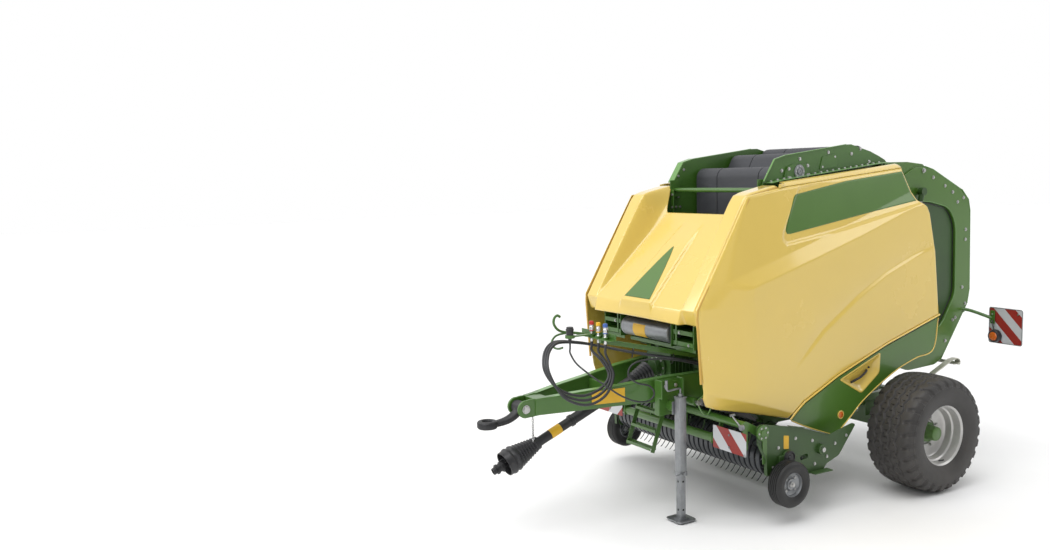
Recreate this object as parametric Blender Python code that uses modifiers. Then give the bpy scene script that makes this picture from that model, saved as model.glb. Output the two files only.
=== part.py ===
"""A round baler with a variable belt chamber, parked on its wheels and its jack.

Metres, +Z up, +Y to the rear, +X to the machine's left. Coordinates below are measured from the
point on the floor under the middle of the axle; the root empty then moves the whole machine so
that the origin is under the middle of its length.
"""

import math

import bmesh
import bpy
from mathutils import Matrix, Vector

# ---- driving dimensions, in metres ----
GAP = 0.0003  # between pieces that touch
AXLE_TO_ORIGIN = 1.32  # the axle stands this far behind the origin

WHEEL_X = 1.167
WHEEL_RADIUS = 0.53
WHEEL_WIDTH = 0.50
RIM_RADIUS = 0.262
AXLE_Z = WHEEL_RADIUS

WALL_X = 0.606  # middle of each chamber wall
WALL_THICK = 0.012
TAIL_WALL_X = 0.646
BELT_HALF = 0.575
BELT_THICK = 0.012
ROLLER_RADIUS = 0.085
TOP_ROLLERS = ((-1.10, 2.870), (-0.66, 2.995), (-0.24, 3.050))
TAIL_ROLLERS = ((1.06, 2.46), (0.86, 1.27))

TAIL_PIVOT = Vector((0, 0.06, 2.93))
HOOD_PIVOT = Vector((0, -1.47, 2.87))
DOOR_PIVOT = Vector((0.80, -0.90, 2.862))
CYLINDER_BASE = Vector((0.725, 0.12, 1.40))
CYLINDER_EYE = Vector((0.725, 0.50, 2.70))

HITCH_TIP_Y = -3.985
CLEVIS = Vector((0, -3.586, 1.03))
BEAM_REAR = Vector((0.45, -1.86, 1.12))
GEARBOX = Vector((0, -2.02, 1.20))
PTO_TIP = Vector((0, -3.86, 0.53))

JACK_X = 0.60
JACK_Y = -2.385
JACK_TOP = 1.07
JACK_SLEEVE_BOTTOM = 0.40
JACK_PIVOT = Vector((JACK_X, JACK_Y, 0.97))

PICKUP_PIVOT = Vector((0, -0.98, 0.74))
REEL_CENTRE = Vector((0, -1.70, 0.535))
TINE_REACH = 0.245
BAND_RADIUS = 0.165
BAND_COUNT = 12
PICKUP_HALF = 1.0
GUARD_PIVOT = Vector((0, -1.88, 0.775))
GAUGE_X = 1.143
GAUGE_Y = -1.68
GAUGE_Z = 0.336
GAUGE_RADIUS = 0.195
GAUGE_WIDTH = 0.14

NET_AXIS = (-2.22, 1.55)
NET_RADIUS = 0.09
NET_STUB = 0.03

HOLDER_Y = -2.93
HOSE_TOP = 1.53
HOSE_END_Y = -1.906
HOSE_X = (0.10, 0.20, 0.30)
PLUG_X = 0.10
PLUG_Y = -3.15
HOSE_RADIUS = 0.0115
CABLE_RADIUS = 0.0075

# ---- outlines as (y, z) points ----
DOOR_BOTTOM = [(-2.162, 0.958), (-1.386, 0.777), (-0.72, 1.18), (0.583, 1.53)]
SKIRT_OUTLINE = [
    (-1.375, 0.76),
    (-0.888, 0.575),
    (-0.62, 0.70),
    (0.10, 1.13),
    (0.509, 1.20),
    (0.56, 1.49),
    (-0.71, 1.155),
]
DOOR_FRONT = [(-2.162, 0.958), (-2.292, 1.01), (-2.387, 1.802), (-1.825, 2.725)]
DOOR_REAR = [(0.583, 1.53), (0.50, 2.10), (0.252, 2.632), (0.10, 2.94)]
DOOR_TOP = [(-1.825, 2.725), (-1.42, 2.79), (0.10, 2.94)]
TAIL_OUTLINE = [
    (0.30, 2.86),
    (0.45, 2.93),
    (0.613, 2.936),
    (1.300, 2.504),
    (1.319, 1.692),
    (1.227, 1.427),
    (0.888, 1.018),
    (0.36, 0.96),
    (0.26, 1.06),
    (0.26, 2.70),
]

# ---- colours: red, green, blue, roughness, metallic ----
CREAM = (0.78, 0.60, 0.26, 0.35, 0.0)
GREEN = (0.09, 0.22, 0.05, 0.40, 0.1)
DARK_GREEN = (0.04, 0.11, 0.04, 0.50, 0.1)
RUBBER = (0.03, 0.03, 0.03, 0.80, 0.0)
BELTING = (0.07, 0.07, 0.08, 0.75, 0.0)
ZINC = (0.55, 0.56, 0.57, 0.40, 0.8)
STEEL = (0.12, 0.12, 0.12, 0.50, 0.7)
BLACK = (0.02, 0.02, 0.02, 0.60, 0.0)
HATCH = (0.75, 0.10, 0.08, 0.40, 0.0)


def clear_scene():
    for obj in list(bpy.data.objects):
        bpy.data.objects.remove(obj, do_unlink=True)
    for mesh in list(bpy.data.meshes):
        bpy.data.meshes.remove(mesh)


def new_collection(name):
    made = bpy.data.collections.new(name)
    bpy.context.scene.collection.children.link(made)
    return made


def finish_material(name, values):
    made = bpy.data.materials.new(name)
    made.use_nodes = True
    shader = made.node_tree.nodes["Principled BSDF"]
    shader.inputs["Base Color"].default_value = (*values[:3], 1.0)
    shader.inputs["Roughness"].default_value = values[3]
    shader.inputs["Metallic"].default_value = values[4]
    return made


def from_bmesh(work):
    mesh = bpy.data.meshes.new("shape")
    bmesh.ops.recalc_face_normals(work, faces=work.faces)
    work.to_mesh(mesh)
    work.free()
    obj = bpy.data.objects.new("shape", mesh)
    WORKSHOP.objects.link(obj)
    return obj


def evaluated_copy(obj, weld=0.0):
    """A new object with the mesh that obj shows, in world space; obj is removed."""
    bpy.context.view_layer.update()
    graph = bpy.context.evaluated_depsgraph_get()
    mesh = bpy.data.meshes.new_from_object(obj.evaluated_get(graph))
    mesh.transform(obj.matrix_world)
    mesh.materials.clear()
    bpy.data.objects.remove(obj, do_unlink=True)
    work = bmesh.new()
    work.from_mesh(mesh)
    if weld:
        bmesh.ops.remove_doubles(work, verts=work.verts, dist=weld)
    bpy.data.meshes.remove(mesh)
    return from_bmesh(work)


# ---- plain shapes ----
def box(centre, size, turn=None):
    work = bmesh.new()
    place = Matrix.Translation(centre) @ (turn or Matrix()) @ Matrix.Diagonal((*size, 1.0))
    bmesh.ops.create_cube(work, size=1.0, matrix=place)
    return from_bmesh(work)


def beam(start, end, width, height):
    """A bar of width (across) and height (upright) from start to end."""
    start, end = Vector(start), Vector(end)
    along = (end - start).normalized()
    side = along.cross(Vector((0, 0, 1)))
    side = side.normalized() if side.length > 1e-6 else Vector((1, 0, 0))
    up = side.cross(along)
    turn = Matrix((side, along, up)).transposed().to_4x4()
    return box((start + end) / 2, (width, (end - start).length, height), turn)


def rod(start, end, radius, sides=16, end_radius=None):
    start, end = Vector(start), Vector(end)
    along = end - start
    turn = Vector((0, 0, 1)).rotation_difference(along).to_matrix().to_4x4()
    work = bmesh.new()
    bmesh.ops.create_cone(
        work,
        cap_ends=True,
        segments=sides,
        radius1=radius,
        radius2=radius if end_radius is None else end_radius,
        depth=along.length,
        matrix=Matrix.Translation((start + end) / 2) @ turn,
    )
    return from_bmesh(work)


def plate(outline, x, thickness):
    """A flat plate across X, with its outline given as (y, z) points."""
    curve = bpy.data.curves.new("outline", "CURVE")
    curve.dimensions = "2D"
    curve.fill_mode = "BOTH"
    curve.extrude = thickness / 2
    spline = curve.splines.new("POLY")
    spline.points.add(len(outline) - 1)
    for point, (y, z) in zip(spline.points, outline):
        point.co = (y, z, 0, 1)
    spline.use_cyclic_u = True
    obj = bpy.data.objects.new("outline", curve)
    WORKSHOP.objects.link(obj)
    obj.matrix_world = Matrix(((0, 0, 1, x), (1, 0, 0, 0), (0, 1, 0, 0), (0, 0, 0, 1)))
    return evaluated_copy(obj, weld=1e-5)


def pipe(points, radius, resolution=2):
    """A round tube with closed ends along points."""
    curve = bpy.data.curves.new("pipe", "CURVE")
    curve.dimensions = "3D"
    curve.bevel_depth = radius
    curve.bevel_resolution = resolution
    curve.use_fill_caps = True
    spline = curve.splines.new("POLY")
    spline.points.add(len(points) - 1)
    for point, place in zip(spline.points, points):
        point.co = (*place, 1)
    obj = bpy.data.objects.new("pipe", curve)
    WORKSHOP.objects.link(obj)
    return evaluated_copy(obj, weld=1e-5)


def turned(profile, centre, steps):
    """A closed profile of (x, radius) points turned round a line along X through centre."""
    mesh = bpy.data.meshes.new("profile")
    count = len(profile)
    edges = [(i, (i + 1) % count) for i in range(count)]
    mesh.from_pydata([(radius, 0, -x) for x, radius in profile], edges, [])
    obj = bpy.data.objects.new("profile", mesh)
    WORKSHOP.objects.link(obj)
    screw = obj.modifiers.new("turn", "SCREW")
    screw.steps = steps
    screw.render_steps = steps
    screw.use_merge_vertices = True
    screw.merge_threshold = 0.0001
    quarter = Matrix.Rotation(-math.pi / 2, 4, "Y")
    obj.matrix_world = Matrix.Translation(centre) @ quarter
    return evaluated_copy(obj, weld=1e-5)


# ---- joining, cutting, mirroring ----
def boolean(base, others, operation):
    tools = new_collection("tools")
    for other in others:
        WORKSHOP.objects.unlink(other)
        tools.objects.link(other)
    change = base.modifiers.new("combine", "BOOLEAN")
    change.operation = operation
    change.solver = "EXACT"
    change.operand_type = "COLLECTION"
    change.collection = tools
    made = evaluated_copy(base)
    for other in others:
        bpy.data.objects.remove(other, do_unlink=True)
    bpy.data.collections.remove(tools)
    return made


def fuse(shapes):
    return boolean(shapes[0], shapes[1:], "UNION")


def cut(shape, cutters):
    return boolean(shape, cutters, "DIFFERENCE")


def mirrored(points, side):
    return [Vector((p[0] * side, p[1], p[2])) for p in points]


def arc(centre, radius, start, end, steps):
    """(y, z) points on an arc, angles in degrees from +Y towards +Z."""
    angles = [math.radians(start + (end - start) * i / steps) for i in range(steps + 1)]
    return [(centre[0] + radius * math.cos(a), centre[1] + radius * math.sin(a)) for a in angles]


def ribbon(path, thickness):
    """The outline of a strip of the given thickness that follows (y, z) points."""
    left, right = [], []
    for i, (y, z) in enumerate(path):
        before = Vector(path[max(i - 1, 0)])
        after = Vector(path[min(i + 1, len(path) - 1)])
        along = (after - before).normalized()
        normal = Vector((-along.y, along.x)) * thickness / 2
        left.append((y + normal.x, z + normal.y))
        right.append((y - normal.x, z - normal.y))
    return left + right[::-1]


def smooth_path(points, spacing):
    """Points every spacing along a Catmull-Rom curve through points."""
    points = [Vector(p) for p in points]
    ends = [2 * points[0] - points[1]] + points + [2 * points[-1] - points[-2]]
    fine = []
    for a, b, c, d in zip(ends, ends[1:], ends[2:], ends[3:]):
        for i in range(24):
            t = i / 24
            fine.append(
                0.5 * (2 * b + (c - a) * t + (2 * a - 5 * b + 4 * c - d) * t**2)
                + 0.5 * (3 * b - a - 3 * c + d) * t**3
            )
    fine.append(points[-1])
    total = sum((q - p).length for p, q in zip(fine, fine[1:]))
    count = max(round(total / spacing), 2)
    placed, walked, target = [fine[0]], 0.0, total / count
    for p, q in zip(fine, fine[1:]):
        step = (q - p).length
        while walked + step >= target and len(placed) < count:
            placed.append(p.lerp(q, (target - walked) / step))
            target += total / count
        walked += step
    placed.append(fine[-1])
    return placed


# ---- bodies and named parts ----
def new_body(name, place=(0, 0, 0)):
    empty = bpy.data.objects.new("body_" + name, None)
    PARTS.objects.link(empty)
    empty.location = Vector(place)
    empty.parent = ROOT
    return empty


def part(name, shape, finish, body):
    """Gives a finished shape its name, its material and its place on a body."""
    shape.data.transform(Matrix.Translation(-body.location))
    shape.name = name
    shape.data.name = name
    shape.data.materials.append(finish)
    shape.data.shade_smooth()
    shape.data.set_sharp_from_angle(angle=math.radians(35))
    WORKSHOP.objects.unlink(shape)
    PARTS.objects.link(shape)
    shape.parent = body
    return shape


def side_name(side):
    return "left" if side > 0 else "right"


# ---- chassis ----
def chamber_walls(finish, body):
    outline = [
        (-1.40, 0.80),
        (-1.60, 1.00),
        (-1.74, 1.30),
        (-1.74, 2.30),
        (-1.45, 2.842),
        (-1.325, 3.03),
        (-0.37, 3.158),
        (0.03, 3.045),
    ]
    outline += arc((TAIL_PIVOT.y, TAIL_PIVOT.z), 0.10, 60, -60, 4)
    outline += [(0.20, 2.40), (0.20, 0.95), (0.05, 0.80)]
    flange_path = [(-1.45, 2.842), (-1.325, 3.03), (-0.37, 3.158), (0.03, 3.045)]
    for side in (1, -1):
        wall = plate(outline, WALL_X * side, WALL_THICK)
        flange = plate(ribbon(flange_path, 0.010), (WALL_X + 0.035) * side, 0.082)
        pin = rod((0.61 * side, 0.12, 1.40), ((0.70 - GAP) * side, 0.12, 1.40), 0.03)
        rib = box(((WALL_X + 0.02) * side, -0.75, 1.7), (0.05, 0.06, 1.6))
        part("chamber_wall_" + side_name(side), fuse([wall, flange, pin, rib]), finish, body)


def chassis_frame(finish, body):
    inner = WALL_X - WALL_THICK / 2 - GAP
    shapes = []
    for side in (1, -1):
        x = 0.555 * side
        shapes.append(box((x, -0.52, 0.73), (0.07, 1.86, 0.10)))
        shapes.append(beam((x, -1.38, 0.73), (x, -1.78, 1.06), 0.07, 0.10))
        shapes.append(box((x, -1.79, 1.66), (0.06, 0.05, 1.28)))
        shapes.append(box((x, 0, 0.64), (0.09, 0.22, 0.13)))
    shapes.append(box((0, -1.80, 1.06), (2 * inner, 0.12, 0.16)))
    shapes.append(box((0, -1.79, 1.68), (2 * inner, 0.06, 0.08)))
    shapes.append(box((0, 0.35, 0.73), (1.10, 0.08, 0.09)))
    shapes.append(box((0, -1.10, 0.73), (1.10, 0.08, 0.09)))
    part("chassis_frame", fuse(shapes), finish, body)
    tube = rod((-inner, -1.45, 2.765), (inner, -1.45, 2.765), 0.022, 12)
    part("top_cross_tube", tube, finish, body)


def axle(finish, body):
    half = WHEEL_X - WHEEL_WIDTH / 2 - 0.045
    shapes = [
        box((0, 0, AXLE_Z), (2 * half, 0.09, 0.09)),
        rod((-WHEEL_X - 0.02, 0, AXLE_Z), (WHEEL_X + 0.02, 0, AXLE_Z), 0.040, 16),
    ]
    part("axle", fuse(shapes), finish, body)


def drawbar(finish, body):
    shapes = []
    for side in (1, -1):
        front = Vector((0.075 * side, -3.53, 1.04))
        middle = Vector((0.25 * side, -2.80, 1.075))
        rear = Vector((BEAM_REAR.x * side, -1.8605, BEAM_REAR.z))
        shapes.append(beam(front, middle + (middle - front) * 0.02, 0.07, 0.15))
        shapes.append(beam(middle, rear, 0.08, 0.19))
        shapes.append(plate(ear_outline(), 0.075 * side, 0.025))
    shapes.append(box((0, -3.47, 1.04), (0.22, 0.10, 0.13)))
    shapes.append(box((0, -1.92, 1.015), (0.90, 0.08, 0.06)))
    mount = rod((0.44, JACK_Y, 0.97), (JACK_X - 0.0375 - GAP, JACK_Y, 0.97), 0.045, 16)
    shapes.append(mount)
    shapes.append(box((0.42, JACK_Y, 1.02), (0.07, 0.24, 0.26)))
    trimmed = box((0, -1.70, 1.1), (2.0, 0.3206 - 2 * GAP, 1.0))
    part("drawbar", cut(fuse(shapes), [trimmed]), finish, body)


def ear_outline():
    return [(-3.45, 0.965), (-3.45, 1.10)] + arc((CLEVIS.y, CLEVIS.z), 0.062, 90, 270, 8)


def hitch_eye(finish, body):
    path = [(-3.586, 1.03), (-3.63, 0.985), (-3.70, 0.955), (-3.80, 0.935), (-3.90, 0.935)]
    arm = plate(ribbon(path, 0.075), 0, 0.09)
    knuckle = rod((-0.060, CLEVIS.y, CLEVIS.z), (0.060, CLEVIS.y, CLEVIS.z), 0.050, 16)
    eye = rod((0, HITCH_TIP_Y + 0.085, 0.90), (0, HITCH_TIP_Y + 0.085, 0.965), 0.085, 20)
    hole = rod((0, HITCH_TIP_Y + 0.085, 0.80), (0, HITCH_TIP_Y + 0.085, 1.10), 0.044, 20)
    part("hitch_eye", cut(fuse([arm, knuckle, eye]), [hole]), finish, body)


def gearbox(finish, body):
    shapes = [
        box((0, GEARBOX.y + 0.02, GEARBOX.z), (0.34, 0.28, 0.30)),
        rod((0, GEARBOX.y - 0.11, GEARBOX.z), (0, GEARBOX.y - 0.20, GEARBOX.z), 0.075, 16),
    ]
    part("gearbox", fuse(shapes), finish, body)


def pto_shaft(finish_metal, finish_plastic, body):
    start = Vector((0, GEARBOX.y - 0.20 - GAP, GEARBOX.z))
    along = (PTO_TIP - start).normalized()
    length = (PTO_TIP - start).length
    tube = [
        rod(start + along * 0.045, start + along * 0.24, 0.085, 16, 0.060),
        rod(start + along * 0.23, start + along * (length - 0.42), 0.045, 16),
        rod(start + along * (length - 0.44), start + along * (length - 0.16), 0.060, 20, 0.105),
    ]
    core = rod(start + along * (length - 0.30), start + along * (length - 0.05), 0.032, 16)
    guard = cut(fuse(tube), [core])
    part("pto_guard", guard, finish_plastic, body)
    yoke = [
        rod(start + along * (length - 0.30 + GAP), PTO_TIP, 0.032 - GAP, 16),
        rod(PTO_TIP - along * 0.10, PTO_TIP - along * 0.04, 0.045, 16),
    ]
    part("pto_shaft", fuse(yoke), finish_metal, body)


def over_roller(roller, start, end, steps=6):
    """The middle of a belt that runs round a roller, clear of it between the points too."""
    half_step = math.radians(abs(end - start) / steps / 2)
    radius = (ROLLER_RADIUS + GAP) / math.cos(half_step) + BELT_THICK / 2
    return arc(roller, radius, start, end, steps)


def belts_and_rollers(belting, roller_finish, body):
    front, middle, rear = TOP_ROLLERS
    path = [(-1.20, 2.10)] + over_roller(front, 180, 40)
    path += [(-0.88, 2.78)] + over_roller(middle, 157, 28)
    path += [(-0.45, 2.86)] + over_roller(rear, 157, 13)
    path += [(-0.02, 2.70)]
    part("upper_belts", plate(ribbon(path, BELT_THICK), 0, 2 * BELT_HALF), belting, body)
    for name, (y, z) in zip(("front", "middle", "rear"), TOP_ROLLERS):
        half = WALL_X - WALL_THICK / 2 - GAP
        shape = rod((-half, y, z), (half, y, z), 0.030, 12)
        drum = rod((-BELT_HALF, y, z), (BELT_HALF, y, z), ROLLER_RADIUS - GAP, 24)
        part("belt_roller_" + name, fuse([drum, shape]), roller_finish, body)


def net_roll(finish, body):
    shape = rod((-0.34, *NET_AXIS), (0.34, *NET_AXIS), NET_RADIUS, 20)
    stub = rod((-0.40, *NET_AXIS), (0.40, *NET_AXIS), NET_STUB, 12)
    part("net_roll", fuse([shape, stub]), finish, body)


def net_box(finish, body):
    shapes = [box((0, -1.845, 1.57), (1.24, 0.04, 0.24))]
    for side in (1, -1):
        shapes.append(box((0.365 * side, -2.06, 1.57), (0.03, 0.46, 0.24)))
        shapes.append(box((0.63 * side, -2.05, 1.57), (0.03, 0.44, 0.24)))
        shapes.append(box((0.50 * side, -2.04, 1.675), (0.28, 0.42, 0.03)))
        shapes.append(box((0.50 * side, -2.08, 1.58), (0.28, 0.40, 0.03)))
        shapes.append(box((0.50 * side, -2.05, 1.465), (0.28, 0.44, 0.03)))
    bores = [rod((-0.50, *NET_AXIS), (0.50, *NET_AXIS), NET_STUB + GAP, 12)]
    part("net_box", cut(fuse(shapes), bores), finish, body)


def lower_skirts(finish, body):
    for side in (1, -1):
        outline = SKIRT_OUTLINE
        part("lower_skirt_" + side_name(side), plate(outline, 0.872 * side, 0.02), finish, body)


def hose_holder(finish, body):
    rail = beam((0.25, HOLDER_Y, 1.55), (0.50, -1.88, 1.315), 0.045, 0.04)
    block = box((0.50, -1.86, 1.29), (0.17, 0.09 - 2 * GAP, 0.13))
    bar = box((0.16, HOLDER_Y, 1.585), (0.50, 0.05, 0.09))
    plug_arm = box((PLUG_X, (HOLDER_Y + PLUG_Y) / 2, 1.60), (0.05, HOLDER_Y - PLUG_Y, 0.05))
    hook = pipe([(-0.02, -2.95, 1.60), (-0.02, -3.16, 1.64), (-0.02, -3.23, 1.74)], 0.014)
    shapes = [rail, block, bar, plug_arm, hook]
    for x in HOSE_X:
        shapes.append(rod((x, HOLDER_Y, HOSE_TOP), (x, HOLDER_Y, 1.72), 0.022, 12))
    plug = Vector((PLUG_X, PLUG_Y, 0))
    shapes.append(rod(plug + Vector((0, 0, HOSE_TOP)), plug + Vector((0, 0, 1.68)), 0.032, 12))
    part("hose_holder", fuse(shapes), finish, body)


def hoses(finish, body):
    for index, x in enumerate(HOSE_X):
        shift = 0.032 * index
        route = [
            (x, HOLDER_Y, HOSE_TOP - GAP),
            (x, HOLDER_Y, HOSE_TOP - 0.04),
            (x, HOLDER_Y, HOSE_TOP - 0.08),
            (x * 0.5 + 0.17, -2.90, 1.36),
            (0.30 + shift, -2.90, 1.26),
            (0.32 + shift, -3.00, 1.17 - 0.8 * shift),
            (0.31 + shift, -3.18, 1.13 - shift),
            (0.27 + shift, -3.37, 1.20 - 0.8 * shift),
            (0.20 + shift, -3.46, 1.34),
            (0.10 + shift, -3.41, 1.46),
            (0.00 + shift, -3.29, 1.525),
            (-0.06 + shift, -3.15, 1.53),
            (-0.045 + shift, -2.95, 1.50),
            (0.02 + shift, -2.80, 1.465),
            (0.16 + shift, -2.62, 1.42),
            (0.37 + shift, -2.30, 1.355),
            (0.435 + shift, -2.08, 1.305),
            (0.44 + shift, -1.97, 1.28),
            (0.44 + shift, HOSE_END_Y, 1.275),
        ]
        path = [Vector(route[0])] + smooth_path(route[1:], 0.07)
        part(f"hose_{index + 1}", pipe(path, HOSE_RADIUS), finish, body)


def electric_cable(finish, body):
    plug = (PLUG_X, PLUG_Y)
    route = [
        (*plug, HOSE_TOP - GAP),
        (*plug, HOSE_TOP - 0.04),
        (*plug, HOSE_TOP - 0.08),
        (0.16, -3.13, 1.37),
        (0.30, -3.10, 1.30),
        (0.42, -3.03, 1.22),
        (0.48, -2.90, 1.12),
        (0.50, -2.76, 1.06),
        (0.50, -2.64, 1.05),
        (0.50, -2.58, 1.10),
        (0.49, -2.62, 1.17),
        (0.475, -2.74, 1.21),
        (0.465, -2.82, 1.28),
        (0.455, -2.77, 1.365),
        (0.465, -2.60, 1.39),
        (0.50, -2.35, 1.36),
        (0.545, -2.12, 1.30),
        (0.55, -1.99, 1.28),
        (0.55, HOSE_END_Y, 1.275),
    ]
    path = [Vector(route[0])] + smooth_path(route[1:], 0.045)
    part("electric_cable", pipe(path, CABLE_RADIUS), finish, body)


def ladder(finish, body):
    low, high = Vector((-2.31, 0.46)), Vector((-2.13, 0.97))
    shapes = []
    for x in (-0.24, 0.12):
        shapes.append(beam((x, *low), (x, *high), 0.03, 0.05))
    for i in range(3):
        y, z = low.lerp(high, 0.06 + 0.30 * i)
        shapes.append(box((-0.06, y, z), (0.36, 0.07, 0.025)))
    shapes.append(box((-0.06, -2.13, 0.965), (0.39, 0.06, 0.06)))
    part("ladder", fuse(shapes), finish, body)


def bale_ramp(finish, body):
    shapes = []
    for side in (1, -1):
        points = mirrored([(0.60, 0.43, 0.73), (0.74, 0.44, 0.76), (0.74, 0.70, 0.93)], side)
        points += mirrored([(0.74, 1.06, 0.965)], side)
        shapes.append(pipe(points, 0.020))
    shapes.append(pipe([(-0.75, 1.05, 0.965), (0.75, 1.05, 0.965)], 0.020))
    shapes.append(pipe([(-0.61, 0.43, 0.73), (0.61, 0.43, 0.73)], 0.020))
    part("bale_ramp", fuse(shapes), finish, body)


# ---- hood and side doors ----


def surface_grid(columns, rows, shape):
    """An open sheet whose points are shape(u, v) for u and v from 0 to 1."""
    work = bmesh.new()
    place = Matrix.Translation((0.5, 0.5, 0))
    bmesh.ops.create_grid(
        work, x_segments=columns, y_segments=rows, size=0.5, matrix=place
    )
    for vert in work.verts:
        vert.co = shape(vert.co.x, vert.co.y)
    mesh = bpy.data.meshes.new("sheet")
    work.to_mesh(mesh)
    work.free()
    obj = bpy.data.objects.new("sheet", mesh)
    WORKSHOP.objects.link(obj)
    return obj


def thickened(sheet, thickness, offset):
    shell = sheet.modifiers.new("shell", "SOLIDIFY")
    shell.thickness = thickness
    shell.offset = offset
    return evaluated_copy(sheet)


def along_polyline(points, t):
    """The point at fraction t of a polyline's length."""
    points = [Vector(p) for p in points]
    lengths = [(b - a).length for a, b in zip(points, points[1:])]
    target = t * sum(lengths)
    for a, b, length in zip(points, points[1:], lengths):
        if target <= length:
            return a.lerp(b, target / length)
        target -= length
    return points[-1]


def smoothstep(low, high, value):
    t = min(max((value - low) / (high - low), 0.0), 1.0)
    return t * t * (3 - 2 * t)


def door_point(side):
    def shape(u, v):
        bottom = along_polyline(DOOR_BOTTOM, u)
        top = along_polyline(DOOR_TOP, u)
        front = along_polyline(DOOR_FRONT, v)
        rear = along_polyline(DOOR_REAR, v)
        corners = (
            Vector(DOOR_FRONT[0]) * (1 - u) * (1 - v)
            + Vector(DOOR_REAR[0]) * u * (1 - v)
            + Vector(DOOR_FRONT[-1]) * (1 - u) * v
            + Vector(DOOR_REAR[-1]) * u * v
        )
        place = bottom * (1 - v) + top * v + front * (1 - u) + rear * u - corners
        width = 0.808 + 0.09 * smoothstep(0.0, 0.22, u)
        width -= 0.045 * smoothstep(0.65, 1.0, v) * smoothstep(0.20, 0.50, u)
        return Vector((side * width, place.x, place.y))

    return shape


def side_doors(finish, bodies):
    for side in (1, -1):
        sheet = surface_grid(12, 8, door_point(side))
        shell = thickened(sheet, 0.012, 0.0)
        part("side_door_" + side_name(side), shell, finish, bodies[side])


def hood_point(u, v):
    """u runs from the right edge to the left one, v from the front crease to the rear edge."""
    x = (u - 0.5) * 2 * 0.785
    lip = smoothstep(0.0, 0.10, v)
    rise = max(v - 0.10, 0.0) / 0.90
    slope = min(rise / 0.72, 1.0)
    ridge_y = -2.384 + (-1.811 + 2.384) * slope
    ridge_z = 1.80 + (2.741 - 1.80) * slope
    if rise > 0.72:
        back = (rise - 0.72) / 0.28
        ridge_y += (-1.49 + 1.811) * back
        ridge_z += (2.83 - 2.741) * back
    floor_y = -2.384 + (-1.70 + 2.384) * rise
    floor_z = 1.80 + (2.557 - 1.80) * rise
    blend = smoothstep(0.44, 0.60, abs(x))
    y = floor_y + (ridge_y - floor_y) * blend
    z = floor_z + (ridge_z - floor_z) * blend
    if v < 0.10:
        y = -2.35 + (-2.384 + 2.35) * lip
        z = 1.67 + (1.80 - 1.67) * lip
    return Vector((x, y, z))


def front_hood(finish, body):
    sheet = surface_grid(18, 9, hood_point)
    part("front_hood", thickened(sheet, 0.012, 0.0), finish, body)


# ---- tailgate ----


def tailgate(finish, belting, roller_finish, hatch, body):
    shapes = []
    for side in (1, -1):
        x = TAIL_WALL_X * side
        shapes.append(plate(TAIL_OUTLINE, x, WALL_THICK))
        rim = [(0.613, 2.930), (1.292, 2.500), (1.311, 1.692), (1.220, 1.432), (0.883, 1.024)]
        shapes.append(plate(ribbon(rim, 0.010), (TAIL_WALL_X + 0.012) * side, 0.06))
        arm = beam((x, TAIL_PIVOT.y, TAIL_PIVOT.z), (x, 0.50, 2.88), WALL_THICK, 0.11)
        shapes.append(arm)
        lobe = rod((x - 0.006, *TAIL_PIVOT.yz), (x + 0.006, *TAIL_PIVOT.yz), 0.075, 16)
        shapes.append(lobe)
        eye_pin = (0.64 * side, CYLINDER_EYE.y, CYLINDER_EYE.z)
        eye_end = ((0.70 - GAP) * side, CYLINDER_EYE.y, CYLINDER_EYE.z)
        shapes.append(rod(eye_pin, eye_end, 0.03))
        light_arm = [(0.64, 1.20, 1.50), (0.75, 1.26, 1.48), (0.92, 1.33, 1.42)]
        shapes.append(pipe(mirrored(light_arm, side), 0.017))
    for y, z in ((1.22, 2.42), (1.24, 1.78), (0.95, 1.14)):
        shapes.append(rod((-0.645, y, z), (0.645, y, z), 0.035, 12))
    part("tailgate_frame", fuse(shapes), finish, body)
    upper, lower = TAIL_ROLLERS
    path = [(0.36, 2.72)] + over_roller(upper, 80, -8)
    path += over_roller(lower, -11, -98) + [(0.34, 1.10)]
    part("tailgate_belts", plate(ribbon(path, BELT_THICK), 0, 2 * BELT_HALF), belting, body)
    half = TAIL_WALL_X - WALL_THICK / 2 - GAP
    for name, (y, z) in zip(("upper", "lower"), TAIL_ROLLERS):
        drum = rod((-BELT_HALF, y, z), (BELT_HALF, y, z), ROLLER_RADIUS - GAP, 24)
        shaft = rod((-half, y, z), (half, y, z), 0.03, 12)
        part("tailgate_roller_" + name, fuse([drum, shaft]), roller_finish, body)
    for side in (1, -1):
        board = box((1.06 * side, 1.365, 1.35), (0.36, 0.025, 0.36))
        lamp = rod((0.97 * side, 1.30, 1.26), (0.97 * side, 1.36, 1.26), 0.06, 16)
        bracket = box((0.945 * side, 1.34, 1.42), (0.05, 0.04, 0.10))
        slot = pipe(mirrored([(0.75, 1.26, 1.48), (0.9205, 1.33, 1.42)], side), 0.0175)
        board = cut(fuse([board, lamp, bracket]), [slot])
        part("light_board_" + side_name(side), board, hatch, body)


def tailgate_cylinders(barrel_finish, rod_finish, bodies):
    for side in (1, -1):
        base = Vector((CYLINDER_BASE.x * side, CYLINDER_BASE.y, CYLINDER_BASE.z))
        eye = Vector((CYLINDER_EYE.x * side, CYLINDER_EYE.y, CYLINDER_EYE.z))
        along = (eye - base).normalized()
        across = Vector((0.025, 0, 0))
        bore = rod(base + along * 0.09, base + along * 0.95, 0.021, 16)
        barrel = [
            rod(base - across, base + across, 0.045, 12),
            rod(base + along * 0.036, base + along * 0.86, 0.038, 16),
        ]
        shape = cut(fuse(barrel), [bore])
        part("cylinder_barrel_" + side_name(side), shape, barrel_finish, bodies[0][side])
        piston = [
            rod(eye - across, eye + across, 0.040, 16),
            rod(base + along * 0.12, eye - along * 0.01, 0.020, 16),
        ]
        part("cylinder_rod_" + side_name(side), fuse(piston), rod_finish, bodies[1][side])


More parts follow.
